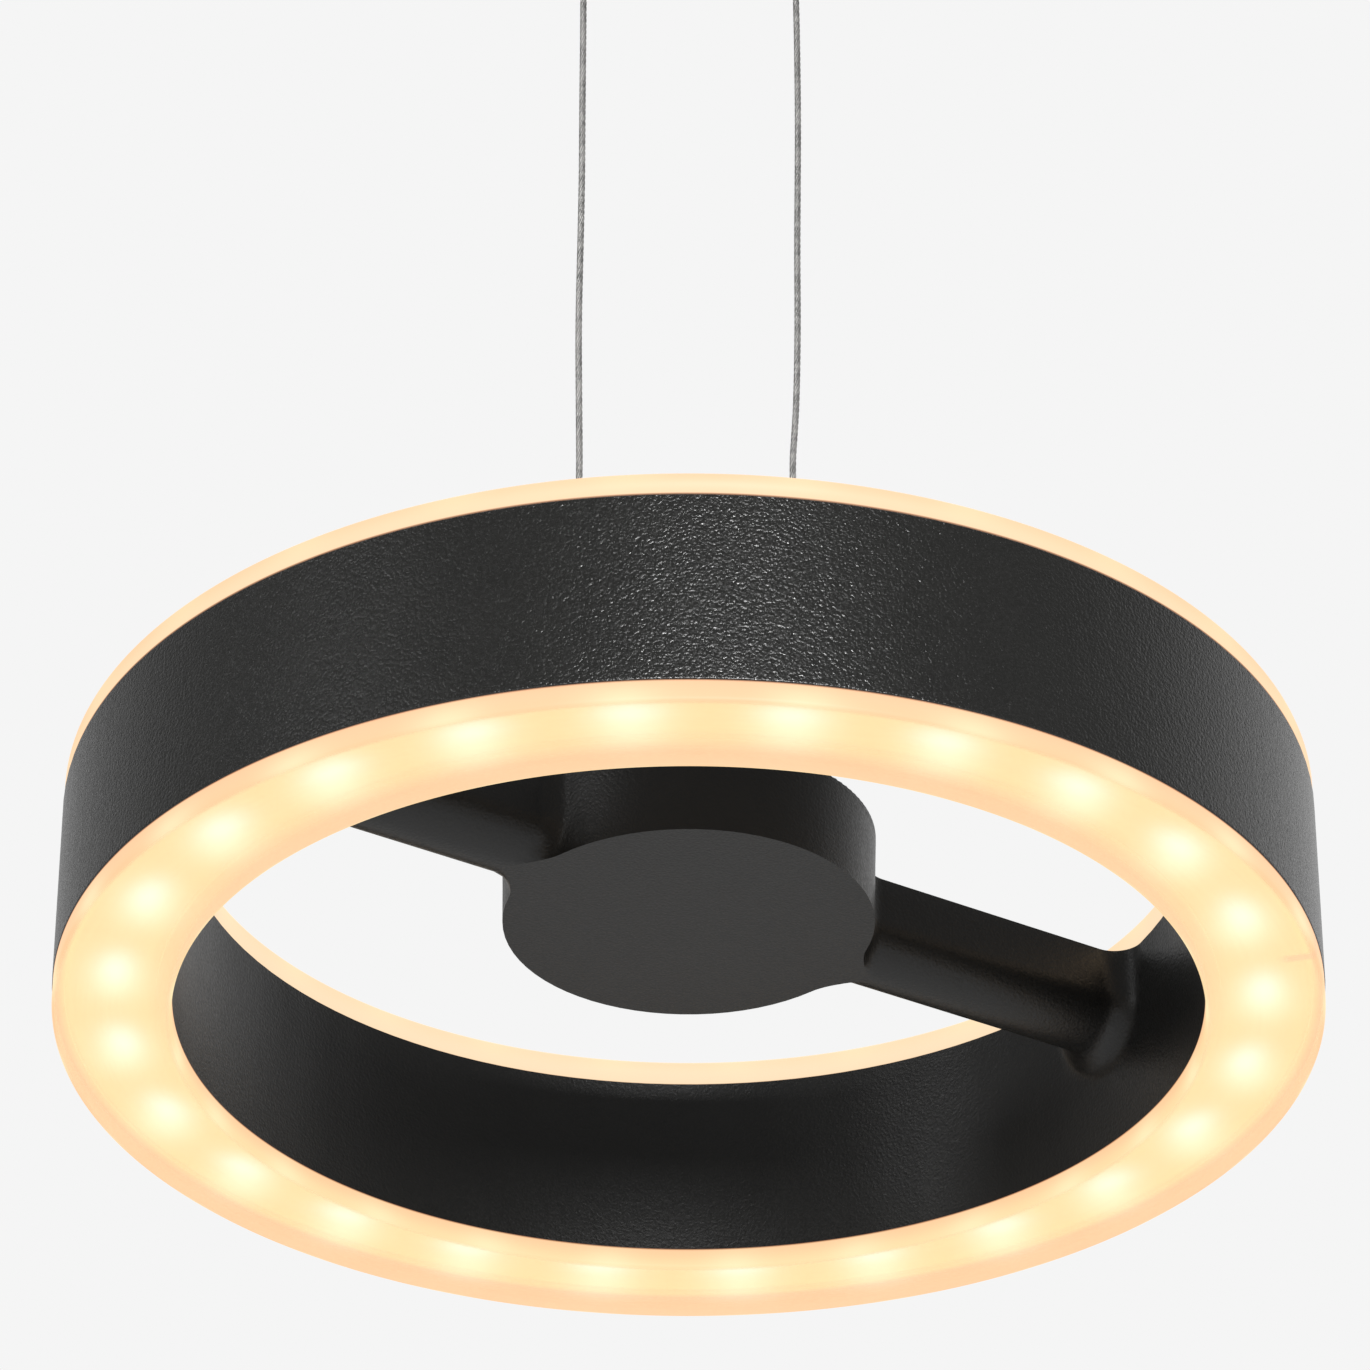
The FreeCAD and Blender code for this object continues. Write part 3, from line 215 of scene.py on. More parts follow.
def scaled(spot, by):
    """A place times three plain numbers, one for each axis."""
    return spot.vector("MULTIPLY", spot, by)


def axes(spot):
    """The three numbers of a place."""
    return [spot.node("ShaderNodeSeparateXYZ", None, {0: spot}, k) for k in range(3)]


def radius_of(spot):
    """The distance from the upright axis: the square root of x squared plus y squared."""
    x, y, _ = axes(spot)
    return (x * x + y * y) ** 0.5


def close_finish(finish, tree, varying, steady):
    """Joins the fields that vary and the steady values to one Principled shader."""
    values = dict(steady)
    values.update(varying)
    shader = add_node(tree, "ShaderNodeBsdfPrincipled", None, values)
    out = tree.nodes.new("ShaderNodeOutputMaterial")
    tree.links.new(shader.socket, out.inputs["Surface"])
    return finish


print("places are in millimetres, colours in linear light")

# %% [markdown]
# A surface that isn't painted smooth has a pattern of its own: cloudy where a colour or a plating varies,
# pebbled where powder melted. Both are made from the place alone, so no picture has to be wrapped round
# the piece. A height made from them leans the surface's normal, which costs no faces.

# %% Patterns and bumps
def noise(spot, size, detail=2.0, roughness=0.5):
    """A cloudy field from 0 to 1, whose blots are about size millimetres across."""
    values = {"Vector": spot, "Scale": 1.0 / size, "Detail": detail, "Roughness": roughness}
    return spot.node("ShaderNodeTexNoise", {"noise_dimensions": "3D"}, values)


def pebbles(spot, size, feature="F1"):
    """Rounded cells about size millimetres across: the distance from each one's middle."""
    values = {"Vector": spot, "Scale": 1.0 / size}
    return spot.node("ShaderNodeTexVoronoi", {"feature": feature}, values, "Distance")


def bumped(height, depth, strength=1.0):
    """The surface's normal, leaned by a height field of so many millimetres."""
    values = {"Height": height, "Distance": depth / 1000, "Strength": strength}
    return height.node("ShaderNodeBump", None, values)


print("pattern helpers ready")

# %% [markdown]
# ## The powder coat
# The casting is coated with a fine-texture black powder. Up close it is a field of small pebbles that melt
# into each other, and a pebble's slope that faces a lamp gives a tiny bright fleck. A displacement would
# need millions of faces for this, so the pebbles are a bump. Powder reaches badly into a hollow, so inside
# the ring the coat is thinner: there only a share of the pebbles' height is left, and the gloss is duller.

# %% Powder coat
COAT_SHADE = 0.0075  # the coat's mean brightness in linear light
PEBBLE, FINE_GRAIN, PATCH = 0.62, 0.46, 9.0  # sizes in mm
GRAIN_DEPTH = 0.20  # mm
HOLLOW, OPEN = 91.5, 106.0  # the coat is thin inside the first radius and full outside the second, in mm


def powder_coat(name, inside=1.0):
    """Black and half matt, with melted pebbles; inside the ring only a share of their height is left."""
    finish, tree, spot = new_finish(name)
    share = radius_of(spot).step(HOLLOW, OPEN, inside, 1.0)
    melted = pebbles(spot, PEBBLE, "SMOOTH_F1")
    fine = noise(spot, FINE_GRAIN)
    height = ((1.0 - melted) * 0.45 + fine * 0.75) * share
    dark = rgb(*(COAT_SHADE * part for part in (0.85, 0.85, 0.80)))
    pale = rgb(*(COAT_SHADE * part for part in (1.2, 1.19, 1.10)))
    rough = fine.step(0.3, 0.7, 0.22, 0.33) + (1.0 - share) * 0.2
    varying = {"Base Color": noise(spot, PATCH).blend(dark, pale), "Roughness": rough,
               "Normal": bumped(height, GRAIN_DEPTH)}
    return close_finish(finish, tree, varying, {"Metallic": 0.0, "Specular IOR Level": 0.5})


black_coat = powder_coat("black_powder_coat", inside=0.4)
print("powder coat ready")

# %% [markdown]
# ## The suspension wires
# Each wire is a rope of six strands laid round a straight core, 1.2 mm thick. It hangs taut, but the
# photograph shows it isn't perfectly straight: it has kept the slight kinks of the coil it came in. Its
# line is a spline through a few points, and the strands are tubes round helices that follow points read
# from that spline. A bump alone would leave the outline smooth, and the rope's edge shows against white.

# %% Route of each wire
FOOT, TOP = -0.2852, -0.00979  # the wires' two ends
ROPE = 0.0012
# Each wire's control points: the distance from the light's middle, and the height, in metres.
left_points = [(0.0240, FOOT), (0.0240, -0.2620), (0.0236, -0.2350), (0.02331, -0.2082), (0.02346, -0.2004),
               (0.02362, -0.1925), (0.02391, -0.1765), (0.02371, -0.1600), (0.02353, -0.1435),
               (0.02363, -0.1270), (0.02365, -0.1010), (0.0240, -0.0600), (0.0240, -0.0350), (0.0240, TOP)]
right_points = [(0.0240, FOOT), (0.0240, -0.2620), (0.0234, -0.2300), (0.02255, -0.1920), (0.02323, -0.1834),
                (0.02378, -0.1750), (0.02423, -0.1580), (0.02425, -0.1420), (0.02457, -0.1240),
                (0.02483, -0.1070), (0.02472, -0.0810), (0.0241, -0.0600), (0.0240, -0.0350), (0.0240, TOP)]


def spline_points(points, name):
    """The line of a smooth spline whose control points are these, as close points along it."""
    curve = bpy.data.curves.new(name, "CURVE")
    curve.dimensions = "3D"
    spline = curve.splines.new("NURBS")
    spline.points.add(len(points) - 1)
    for knot, point in zip(spline.points, points):
        knot.co = (*point, 1.0)
    spline.order_u = 3  # smooth, and close to its control points
    spline.use_endpoint_u = True
    spline.resolution_u = 24
    route = bpy.data.objects.new(name, curve)
    mesh = bpy.data.meshes.new_from_object(route)
    line = np.empty(3 * len(mesh.vertices))
    mesh.vertices.foreach_get("co", line)
    bpy.data.objects.remove(route)
    bpy.data.meshes.remove(mesh)
    bpy.data.curves.remove(curve)
    return line.reshape(-1, 3)


def evenly(line, step):
    """The same line with points a step apart, and each one's distance from the start."""
    run = np.concatenate([[0], np.cumsum(np.linalg.norm(np.diff(line, axis=0), axis=1))])
    along = np.linspace(0, run[-1], max(2, int(round(run[-1] / step))) + 1)
    return np.stack([np.interp(along, run, line[:, k]) for k in range(3)], axis=1), along


left_line = spline_points([(-reach, 0, z) for reach, z in left_points], "left_route")
right_line = spline_points([(reach, 0, z) for reach, z in right_points], "right_route")
print("spline points", len(left_line), len(right_line))

# %% [markdown]
# A strand's middle goes round the wire's middle once in each lay, and a round tube follows it. Both are
# one formula: point = middle + reach (cos a, sin a), done once for the helix and once for the tube.

# %% Strands as tubes
def across_line(line):
    """Two unit vectors across a nearly upright line, at each of its points and square to each other."""
    along = np.gradient(line, axis=0)
    along /= np.linalg.norm(along, axis=1, keepdims=True)
    first = np.cross(along, np.array([0.0, 1.0, 0.0]))
    first /= np.linalg.norm(first, axis=1, keepdims=True)
    return first, np.cross(along, first)


def tube(line, radius, sides):
    """Rings of points at middle + radius (cos a first + sin a second), for a all the way round."""
    first, second = across_line(line)
    a = np.arange(sides) * 2 * np.pi / sides
    ring = np.cos(a)[None, :, None] * first[:, None] + np.sin(a)[None, :, None] * second[:, None]
    return line[:, None] + radius * ring


def skin(rows, columns, offset):
    """Four-sided faces between rings of points, closed round, with a flat cap on each end."""
    i, j = np.meshgrid(np.arange(rows - 1), np.arange(columns), indexing="ij")
    k = (j + 1) % columns
    faces = np.stack([i * columns + j, i * columns + k, (i + 1) * columns + k, (i + 1) * columns + j], -1)
    faces = (faces.reshape(-1, 4) + offset).tolist()
    first = (offset + np.arange(columns)[::-1]).tolist()
    last = (offset + (rows - 1) * columns + np.arange(columns)).tolist()
    return faces + [first, last]


def new_piece(name, points, faces, finish, smooth=True):
    """A mesh object at the origin, with its place in its mesh and its faces outward."""
    mesh = bpy.data.meshes.new(name)
    mesh.from_pydata(points.tolist(), [], faces)
    mesh.polygons.foreach_set("use_smooth", [smooth] * len(mesh.polygons))
    mesh.materials.append(finish)
    mesh.update()
    piece = bpy.data.objects.new(name, mesh)
    bpy.context.scene.collection.objects.link(piece)
    return piece


print("strand helpers ready")

# %% [markdown]
# The wire finish reads two numbers kept on the mesh: how far round its strand a point is, and how far
# along. The fine wires inside each strand are stripes that run across it on a slant.

# %% Wire finish
def wire_finish():
    """Drawn steel wires, dull and slightly mottled, with fine slanted grooves."""
    finish, tree, spot = new_finish("stranded_steel")
    lay = add_node(tree, "ShaderNodeUVMap", {"uv_map": "lay"})
    round_it, along, _ = axes(lay)
    slant = (round_it * 6.0 + along * 3.5) * (2 * math.pi)
    groove = slant.sine()
    mottle = noise(spot, 1.3, 3.0, 0.6)
    worn = noise(spot, 7.0, 2.0)
    colour = mottle.step(0.3, 0.7).blend(rgb(0.19, 0.19, 0.186), rgb(0.41, 0.405, 0.395))
    colour = worn.step(0.45, 0.7, 0.0, 0.6).blend(colour, rgb(0.33, 0.325, 0.317))
    rough = mottle.step(0.2, 0.8, 0.42, 0.60)
    varying = {"Base Color": colour, "Roughness": rough, "Normal": bumped(groove, 0.02, 0.7)}
    return close_finish(finish, tree, varying, {"Metallic": 0.85})


rope_steel = wire_finish()
print("wire finish ready")

# %% [markdown]
# A real rope of this kind is laid by turning six strands round a core, one turn in about 8 mm. The same
# lay is made here, point by point along the wire's own line, so that the strands follow its kinks. Each
# point also keeps how far round and how far along its strand it is, which is what the finish reads.

# %% Wire ropes
STRANDS, STRAND_SIDES, LAY = 6, 8, 0.0082
STRAND_RADIUS, STRAND_REACH = ROPE * 0.2, ROPE * 0.325
ROPE_STEP = 0.0005  # metres between a strand's rings of points


def rope(name, line):
    """Six tubes on helices round the line, at middle + reach (cos a, sin a), and a seventh as the core."""
    middle, along = evenly(line, ROPE_STEP)
    first, second = across_line(middle)
    round_it = np.arange(STRAND_SIDES)[None] / STRAND_SIDES
    points, faces, marks = [], [], []
    for strand in range(STRANDS + 1):
        turn = 2 * np.pi * (along / LAY + strand / STRANDS)
        reach = 0 if strand == STRANDS else STRAND_REACH
        helix = middle + reach * (np.cos(turn)[:, None] * first + np.sin(turn)[:, None] * second)
        faces += skin(len(helix), STRAND_SIDES, sum(map(len, points)))
        points.append(tube(helix, STRAND_RADIUS, STRAND_SIDES).reshape(-1, 3))
        marks.append(np.stack(np.broadcast_arrays(round_it, along[:, None] * 1000), -1).reshape(-1, 2))
    piece = new_piece(name, np.concatenate(points), faces, rope_steel)
    corner = np.empty(len(piece.data.loops), np.int32)
    piece.data.loops.foreach_get("vertex_index", corner)
    piece.data.uv_layers.new(name="lay").data.foreach_set("uv", np.concatenate(marks)[corner].ravel())
    return piece, middle, along[-1]


for hand, line in (("left", left_line), ("right", right_line)):
    wire, middle, length = rope(f"wire_rope_{hand}", line)
    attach(wire, "wires")
    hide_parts(f"suspension_wire_{hand}")
    print(wire.name, "length mm", round(1000 * float(length), 2), "faces", len(wire.data.polygons))

# %% [markdown]
# ## The casting
# Ring, bridge and hub are one casting. Its solid has sharp rims, and a coated casting has none: the powder
# pulls back from an edge and leaves it slightly round. The solid's mesh is loose triangles, so a copy is
# welded, its flat triangles are joined, and a narrow bevel rounds each rim.

# %% Ring casting
WELD, SLIVER, FLAT = 2e-6, 1e-6, math.radians(0.4)  # metres, metres, and the bend that still counts as flat
RIM = 0.0002  # metres of bevel on each rim


def welded_copy(node, name, finish, rim, least_angle=35):
    """A copy of a node, welded, its flat triangles joined, and each bend over least_angle degrees bevelled."""
    source = nodes[node].data
    points = np.empty(3 * len(source.vertices))
    source.vertices.foreach_get("co", points)
    corners = np.empty(len(source.loops), np.int32)
    source.loops.foreach_get("vertex_index", corners)
    piece = new_piece(name, points.reshape(-1, 3), corners.reshape(-1, 3).tolist(), finish)
    work = bmesh.new()
    work.from_mesh(piece.data)
    bmesh.ops.remove_doubles(work, verts=work.verts, dist=WELD)
    bmesh.ops.dissolve_degenerate(work, edges=work.edges, dist=SLIVER)
    bmesh.ops.dissolve_limit(work, angle_limit=FLAT, verts=work.verts, edges=work.edges)
    open_edges = sum(1 for edge in work.edges if len(edge.link_faces) != 2)
    for face in work.faces:
        face.smooth = True
    work.to_mesh(piece.data)
    work.free()
    piece.data.set_sharp_from_angle(angle=math.radians(least_angle))
    bevel = piece.modifiers.new("rounded_rims", "BEVEL")
    bevel.width, bevel.segments = rim, 3
    bevel.limit_method, bevel.angle_limit = "ANGLE", math.radians(least_angle)
    bevel.harden_normals = True
    even = piece.modifiers.new("flat_faces_stay_flat", "WEIGHTED_NORMAL")
    even.weight, even.keep_sharp = 100, True
    print(name, "faces", len(piece.data.polygons), "open edges", open_edges)
    return piece


casting = welded_copy("ring_frame", "ring_casting", black_coat, RIM)
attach(casting, "ring")
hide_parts("ring_frame")

# %% [markdown]
# ## The lit diffusers
# Each diffuser is a thick opal acrylic ring, lit from behind by 24 small lamps. The light is inside it,
# not on it: as one looks along the ring, the hot spots shift across its face and draw out into columns.
# A flat glowing face can't do that. So each is built in depth, from three pieces: a bright tray with a hot
# spot at each lamp, 3.9 to 4.8 mm behind the face; a thin clouded layer half way; and the skin, whose face
# lets most of the light through. Each is one closed profile carried round the upright axis.

# %% A profile carried round
def carried_round(name, profile, finish, steps=360, smooth=True):
    """Points (r cos t, r sin t, z) for each point (r, z) of a closed profile and each angle t; sizes in mm."""
    t = np.arange(steps) * 2 * np.pi / steps
    r, z = profile[None, :, 0] / 1000, profile[None, :, 1] / 1000
    points = np.stack([r * np.cos(t)[:, None], r * np.sin(t)[:, None], z + 0 * t[:, None]], -1)
    i, j = np.meshgrid(np.arange(steps), np.arange(len(profile)), indexing="ij")
    n, down, on = len(profile), (i + 1) % steps, (j + 1) % len(profile)
    faces = np.stack([i * n + j, down * n + j, down * n + on, i * n + on], -1).reshape(-1, 4)
    piece = new_piece(name, points.reshape(-1, 3), faces.tolist(), finish, smooth)
    work = bmesh.new()
    work.from_mesh(piece.data)
    print(name, "faces", len(work.faces), "volume in cubic mm", round(work.calc_volume(signed=True) * 1e9))
    work.free()
    return piece


# %% [markdown]
# The glow is worked out from the place on the ring: the distance along it to the nearest lamp, and the
# distance off the lamps' circle. An exponential of the two gives a soft oval blot of light. A painted
# picture of the glow would lie flat on the face, and this goes on working from every side.

# %% Glow around each lamp
LAMPS, LAMP_RADIUS = 24, 99.4  # on each side of the light; mm
PEACH = rgb(0.965, 0.605, 0.350)  # opal acrylic far from a lamp
BLOT = rgb(1.0, 0.97, 0.74)  # the same over a lamp


def glow_parts(spot):
    """Radius in mm, distance in mm along the ring from the nearest lamp, and distance off the lamp circle."""
    x, y, _ = axes(spot)
    turn = x.sum_of("ARCTAN2", y, x) * (LAMPS / (2 * math.pi)) + 100.0
    along = (turn.fraction() - 0.5) * (2 * math.pi * LAMP_RADIUS / LAMPS)
    radius = radius_of(spot)
    return radius, along, radius - LAMP_RADIUS


def bell(distance, width):
    """e to the minus (distance / width) squared: 1 in the middle, fading softly to both sides."""
    return (((distance / width) ** 2.0) * -1.0).exponential()


def spread(along, off, length, width):
    """A soft oval blot: a bell along the ring times a bell across it."""
    return bell(along, length) * bell(off, width)


def opal_body(spot):
    """The faint cream that the acrylic itself has, under its glow."""
    return noise(spot, 6.0).blend(rgb(0.05, 0.045, 0.037), rgb(0.06, 0.055, 0.045))


print("lamps", LAMPS, "pitch in mm", round(2 * math.pi * LAMP_RADIUS / LAMPS, 2))

# %% [markdown]
# The tray stands for the lit depth of the acrylic. Its walls are peach, its plate is paler, and each lamp
# adds a wide blot and a hot core. Two layers lie over it, so its colours go above white. A shader's
# Emission Color stops at white when it is baked, so they are divided by the Emission Strength.

# %% Tray finish
TRAY_STRENGTH = 1.4


def lit(red, green, blue):
    """A colour in linear light, divided by the strength that the tray's shader gives it back."""
    return rgb(red / TRAY_STRENGTH, green / TRAY_STRENGTH, blue / TRAY_STRENGTH)


def tray_finish(name, face_height, face_side):
    """Peach on the tray's walls, a pale field across its plate, and a hot spot over each lamp."""
    finish, tree, spot = new_finish(name)
    radius, along, off = glow_parts(spot)
    depth = (face_height - axes(spot)[2]) * face_side
    plate = depth.step(3.0, 3.9) * radius.step(87.6, 94.6) * radius.step(109.6, 107.0)
    colour = plate.blend(lit(*PEACH[:3]), lit(1.05, 0.89, 0.415))
    colour = (spread(along, off, 7.2, 5.0) * plate * 0.8).blend(colour, lit(1.15, 1.10, 0.68))
    colour = (spread(along, off, 5.0, 2.9) * plate).blend(colour, lit(1.3, 1.3, 1.02))
    dust = noise(spot, 1.1).step(0.3, 0.7, 0.975, 1.0)
    varying = {"Base Color": opal_body(spot), "Emission Color": colour.vector("MULTIPLY", colour, dust)}
    return close_finish(finish, tree, varying, {"Emission Strength": TRAY_STRENGTH, "Roughness": 0.6})


print("tray colours are divided by", TRAY_STRENGTH)

# %% [markdown]
# Opal acrylic scatters light at every depth. One thin clouded layer between tray and skin does enough of
# that: it lays a second, softer blot over each lamp. It fades out at its rims, so that it shows no edge.

# %% Clouded layer finish
LAYER_COVER = 0.2254  # the share of the light behind it that the layer stops


def layer_finish(name):
    """A clouded layer that is clear at its rims, with a blot of light over each lamp."""
    finish, tree, spot = new_finish(name)
    radius, along, off = glow_parts(spot)
    colour = spread(along, off, 6.4, 4.8).blend(PEACH, BLOT)
    cloud = noise(spot, 5.0).step(0.3, 0.7, 0.96, 1.0)
    cover = radius.step(89.8, 92.5) * radius.step(109.4, 106.8) * cloud
    varying = {"Base Color": opal_body(spot), "Emission Color": colour, "Alpha": cover * LAYER_COVER}
    return close_finish(finish, tree, varying, {"Emission Strength": 1.0, "Roughness": 0.6})


print("the clouded layer covers", LAYER_COVER)

# %% [markdown]
# The skin is what a hand would touch. Its face is mostly clear, and its walls are closed and glow on their
# own: a column of light rises beside each lamp, and a dark reddish line of painted shade runs along the wall
# where the casting's edge meets it. One skin has a faint mark that runs in from its rim, as a moulding has
# where the plastic closed the ring. All of this is read from the radius and the distance behind the face.

# %% Skin walls
# Painted shade: within this many mm of the casting's edge the wall's glow is darkened and reddened, as shade
# from the casting's rim.
EDGE_SHADE_WIDTH = 0.35  # mm from the casting's edge in which the wall is dark
INNER_HALF_ENDS, OUTER_HALF_STARTS = 99.0, 100.0  # mm: what tells the inner wall from the outer one
COLUMN = rgb(1.0, 0.90, 0.55)
SHADED_PEACH = rgb(*(0.85 * part for part in PEACH[:3]))


def joint_mark(spot, radius, angle):
    """1 on a short line that runs in from the rim at an angle, and 0 elsewhere."""
    x, y, _ = axes(spot)
    out = x * math.cos(angle) + y * math.sin(angle)
    aside = y * math.cos(angle) - x * math.sin(angle)
    return abs(aside).step(1.6, 0.4) * radius.step(103.0, 105.4) * out.step(0.0, 1.0)


def skin_walls(radius, along, height, face_height, face_side, edges, walls, column_share):
    """The colour of both walls: each pair of walls goes from its back's colour to its face's colour, with
    painted shade along the casting's edge.
    """
    behind = (face_height - height) * face_side
    outside = radius.step(INNER_HALF_ENDS, OUTER_HALF_STARTS)
    to_face = behind.step(3.8, 0.2)
    wall = outside.blend(*(to_face.blend(*pair) for pair in walls))
    column = bell(along, 5.6) * (behind.step(4.2, 0.3, 0.15, 0.55) * column_share)
    wall = column.blend(wall, COLUMN)
    # Painted shade: in a narrow band at the casting's edge the wall is darkened to 15 percent and reddened,
    # standing in for the rim's shadow.
    edge = radius.step(INNER_HALF_ENDS, OUTER_HALF_STARTS, *edges)
    edge_shade = ((height - edge) * face_side).step(0.0, EDGE_SHADE_WIDTH, 0.15, 1.0)
    reddish_edge_shade = edge_shade.node("ShaderNodeCombineXYZ", None, {0: edge_shade ** 0.7, 1: edge_shade, 2: edge_shade ** 1.2})
    return wall.vector("MULTIPLY", wall, reddish_edge_shade)


print("the line at the casting is", EDGE_SHADE_WIDTH, "mm wide")

# %% [markdown]
# The face fades into the walls over the rounded corners. Where it is clear, the layer and the tray show
# through it, and what is left of its own colour is the same blot as the layer's. The streaks are a noise
# that is drawn out along the ring.

# %% Skin finish
VEIL = 0.25  # how much of the skin's face is closed


def skin_finish(name, face_height, face_side, edges, walls, column_share, joint=None):
    """Satin opal: closed at its walls, which change colour towards the face, and mostly clear on its face."""
    finish, tree, spot = new_finish(name)
    radius, along, off = glow_parts(spot)
    height = axes(spot)[2]
    wall = skin_walls(radius, along, height, face_height, face_side, edges, walls, column_share)
    behind = (face_height - height) * face_side
    on_face = behind.step(0.55, 0.0) * radius.step(89.4, 90.6) * radius.step(109.8, 108.6)
    face = spread(along, off, 6.4, 4.8).blend(PEACH, BLOT)
    drawn_out = radius.node("ShaderNodeCombineXYZ", None, {0: radius * 1.2, 1: along * 0.04})
    face = face.vector("MULTIPLY", face, noise(drawn_out, 0.9).step(0.35, 0.6, 0.95, 1.0))
    clear = on_face * (1.0 - VEIL)
    if joint is not None:
        mark = joint_mark(spot, radius, joint)
        face, wall = mark.blend(face, PEACH), (mark * 0.5).blend(wall, SHADED_PEACH)
        clear = clear * (1.0 - mark * 0.75)
    varying = {"Base Color": noise(spot, 14.0).blend(rgb(0.06, 0.054, 0.045), rgb(0.08, 0.073, 0.06)),
               "Emission Color": on_face.blend(wall, face), "Alpha": 1.0 - clear,
               "Normal": bumped(noise(spot, 0.4), 0.01, 0.5)}
    steady = {"Emission Strength": 1.0, "Roughness": 0.5, "Specular IOR Level": 0.15}
    return close_finish(finish, tree, varying, steady)


print("the skin's face covers", VEIL)

# %% [markdown]
# Three sections, in millimetres. The skin's is that of the real moulding: a flat band with rounded corners
# that stands out of the casting, and two legs that press between its walls. The tray is a stepped channel
# under the face, open towards it, whose shelves keep clear of the casting's rims. The layer is a flat strip.

# %% Sections of the three pieces
SKIN_BORE, SKIN_RIM, CORNER = 89.35, 109.85, 0.8
INNER_LEG, OUTER_LEG, ROOT_DEPTH = (91.9, 93.4), (106.6, 108.1), 5.3
TRAY_BORE, TRAY_RIM, TRAY_WALL, TRAY_TOP = 89.65, 109.55, 0.15, 0.35
CHANNEL_BORE, CHANNEL_RIM = 92.1, 107.9
SHELF, SHELF_BACK, PLATE, PLATE_BACK = 3.9, 3.94, 4.8, 5.0
LAYER_BORE, LAYER_RIM, LAYER_DEPTH, LAYER_HALF, LAYER_CUT = 89.7, 109.5, 2.3, 0.05, 0.02


def skin_section(face_height, side, back_height, outer_edge, inner_edge):
    """Points (radius, height) round the skin: legs and root first, then the face's outer and inner corner."""
    a = np.radians(np.linspace(0, 90, 7))
    root = face_height - side * ROOT_DEPTH
    foot = [(SKIN_BORE, inner_edge), (INNER_LEG[0], inner_edge), (INNER_LEG[0], back_height),
            (INNER_LEG[1], back_height), (INNER_LEG[1], root), (OUTER_LEG[0], root),
            (OUTER_LEG[0], back_height), (OUTER_LEG[1], back_height), (OUTER_LEG[1], outer_edge),
            (SKIN_RIM, outer_edge)]
    rim, bore = SKIN_RIM - CORNER, SKIN_BORE + CORNER
    outer = np.stack([rim + CORNER * np.cos(a), face_height - side * CORNER * (1 - np.sin(a))], 1)
    inner = np.stack([bore - CORNER * np.sin(a), face_height - side * CORNER * (1 - np.cos(a))], 1)
    return np.concatenate([np.array(foot), outer, inner])


def tray_section(face_height, side):
    """Points (radius, height) round the tray: its lit side first, then back along the side behind it."""
    front = [(TRAY_BORE, TRAY_TOP), (TRAY_BORE, SHELF), (CHANNEL_BORE, SHELF), (CHANNEL_BORE, PLATE),
             (CHANNEL_RIM, PLATE), (CHANNEL_RIM, SHELF), (TRAY_RIM, SHELF), (TRAY_RIM, TRAY_TOP)]
    bore, rim = TRAY_BORE - TRAY_WALL, TRAY_RIM + TRAY_WALL
    inside, outside = CHANNEL_BORE - TRAY_WALL, CHANNEL_RIM + TRAY_WALL
    behind = [(rim, TRAY_TOP), (rim, SHELF_BACK), (outside, SHELF_BACK), (outside, PLATE_BACK),
              (inside, PLATE_BACK), (inside, SHELF_BACK), (bore, SHELF_BACK), (bore, TRAY_TOP)]
    return np.array([(radius, face_height - side * depth) for radius, depth in front + behind])


def layer_section(middle):
    """Points (radius, height) round a thin flat strip whose corners are cut."""
    low, high, cut = middle - LAYER_HALF, middle + LAYER_HALF, LAYER_CUT
    return np.array([(LAYER_BORE, low + cut), (LAYER_BORE + cut, low), (LAYER_RIM - cut, low),
                     (LAYER_RIM, low + cut), (LAYER_RIM, high - cut), (LAYER_RIM - cut, high),
                     (LAYER_BORE + cut, high), (LAYER_BORE, high - cut)])


print("skin width in mm", round(SKIN_RIM - SKIN_BORE, 2))

# %% [markdown]
# The lower diffuser looks down and the upper one looks up, so one function makes both, with a side of
# minus or plus 1. A section that is mirrored would turn its faces inward, so its points are then taken in
# the other order. The wall colours are those seen in the photograph, at the back and at the face.

# %% Diffusers
def diffuser(name, face_height, back_height, outer_edge, inner_edge, walls, column_share, joint=None):
    """Skin, clouded layer and tray of one diffuser, from its face, its legs' ends and the casting's edges."""
    side = 1 if face_height > back_height else -1
    section = skin_section(face_height, side, back_height, outer_edge, inner_edge)
    look = skin_finish(f"opal_{name}", face_height, side, (inner_edge, outer_edge), walls, column_share, joint)
    cover = carried_round(f"opal_{name}", section if side > 0 else section[::-1], look)
    layer = carried_round(f"opal_layer_{name}", layer_section(face_height - side * LAYER_DEPTH),
                          layer_finish(f"opal_layer_{name}"))
    section = tray_section(face_height, side)
    tray = carried_round(f"glow_tray_{name}", section[::-1] if side > 0 else section,
                         tray_finish(f"glow_tray_{name}", face_height, side), smooth=False)
    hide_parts(f"diffuser_{name}")
    for piece in (cover, layer, tray):
        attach(piece, "ring")
    print(name, "diffuser stands out", round(abs(face_height - outer_edge), 1), "mm at its rim")


lower_inner_wall = (seen(251, 203, 154), seen(252, 218, 163))
lower_outer_wall = (seen(251, 199, 152), seen(252, 199, 148))
upper_inner_wall = (seen(254, 223, 186), seen(255, 219, 178))
upper_outer_wall = (seen(254, 215, 173), seen(253, 204, 158))
diffuser("lower", face_height=-318.0, back_height=-310.0, outer_edge=-314.0, inner_edge=-314.0,
         walls=(lower_inner_wall, lower_outer_wall), column_share=1.0, joint=math.radians(-47))
diffuser("upper", face_height=-274.4, back_height=-283.1, outer_edge=-278.7, inner_edge=-279.5,
         walls=(upper_inner_wall, upper_outer_wall), column_share=0.4)

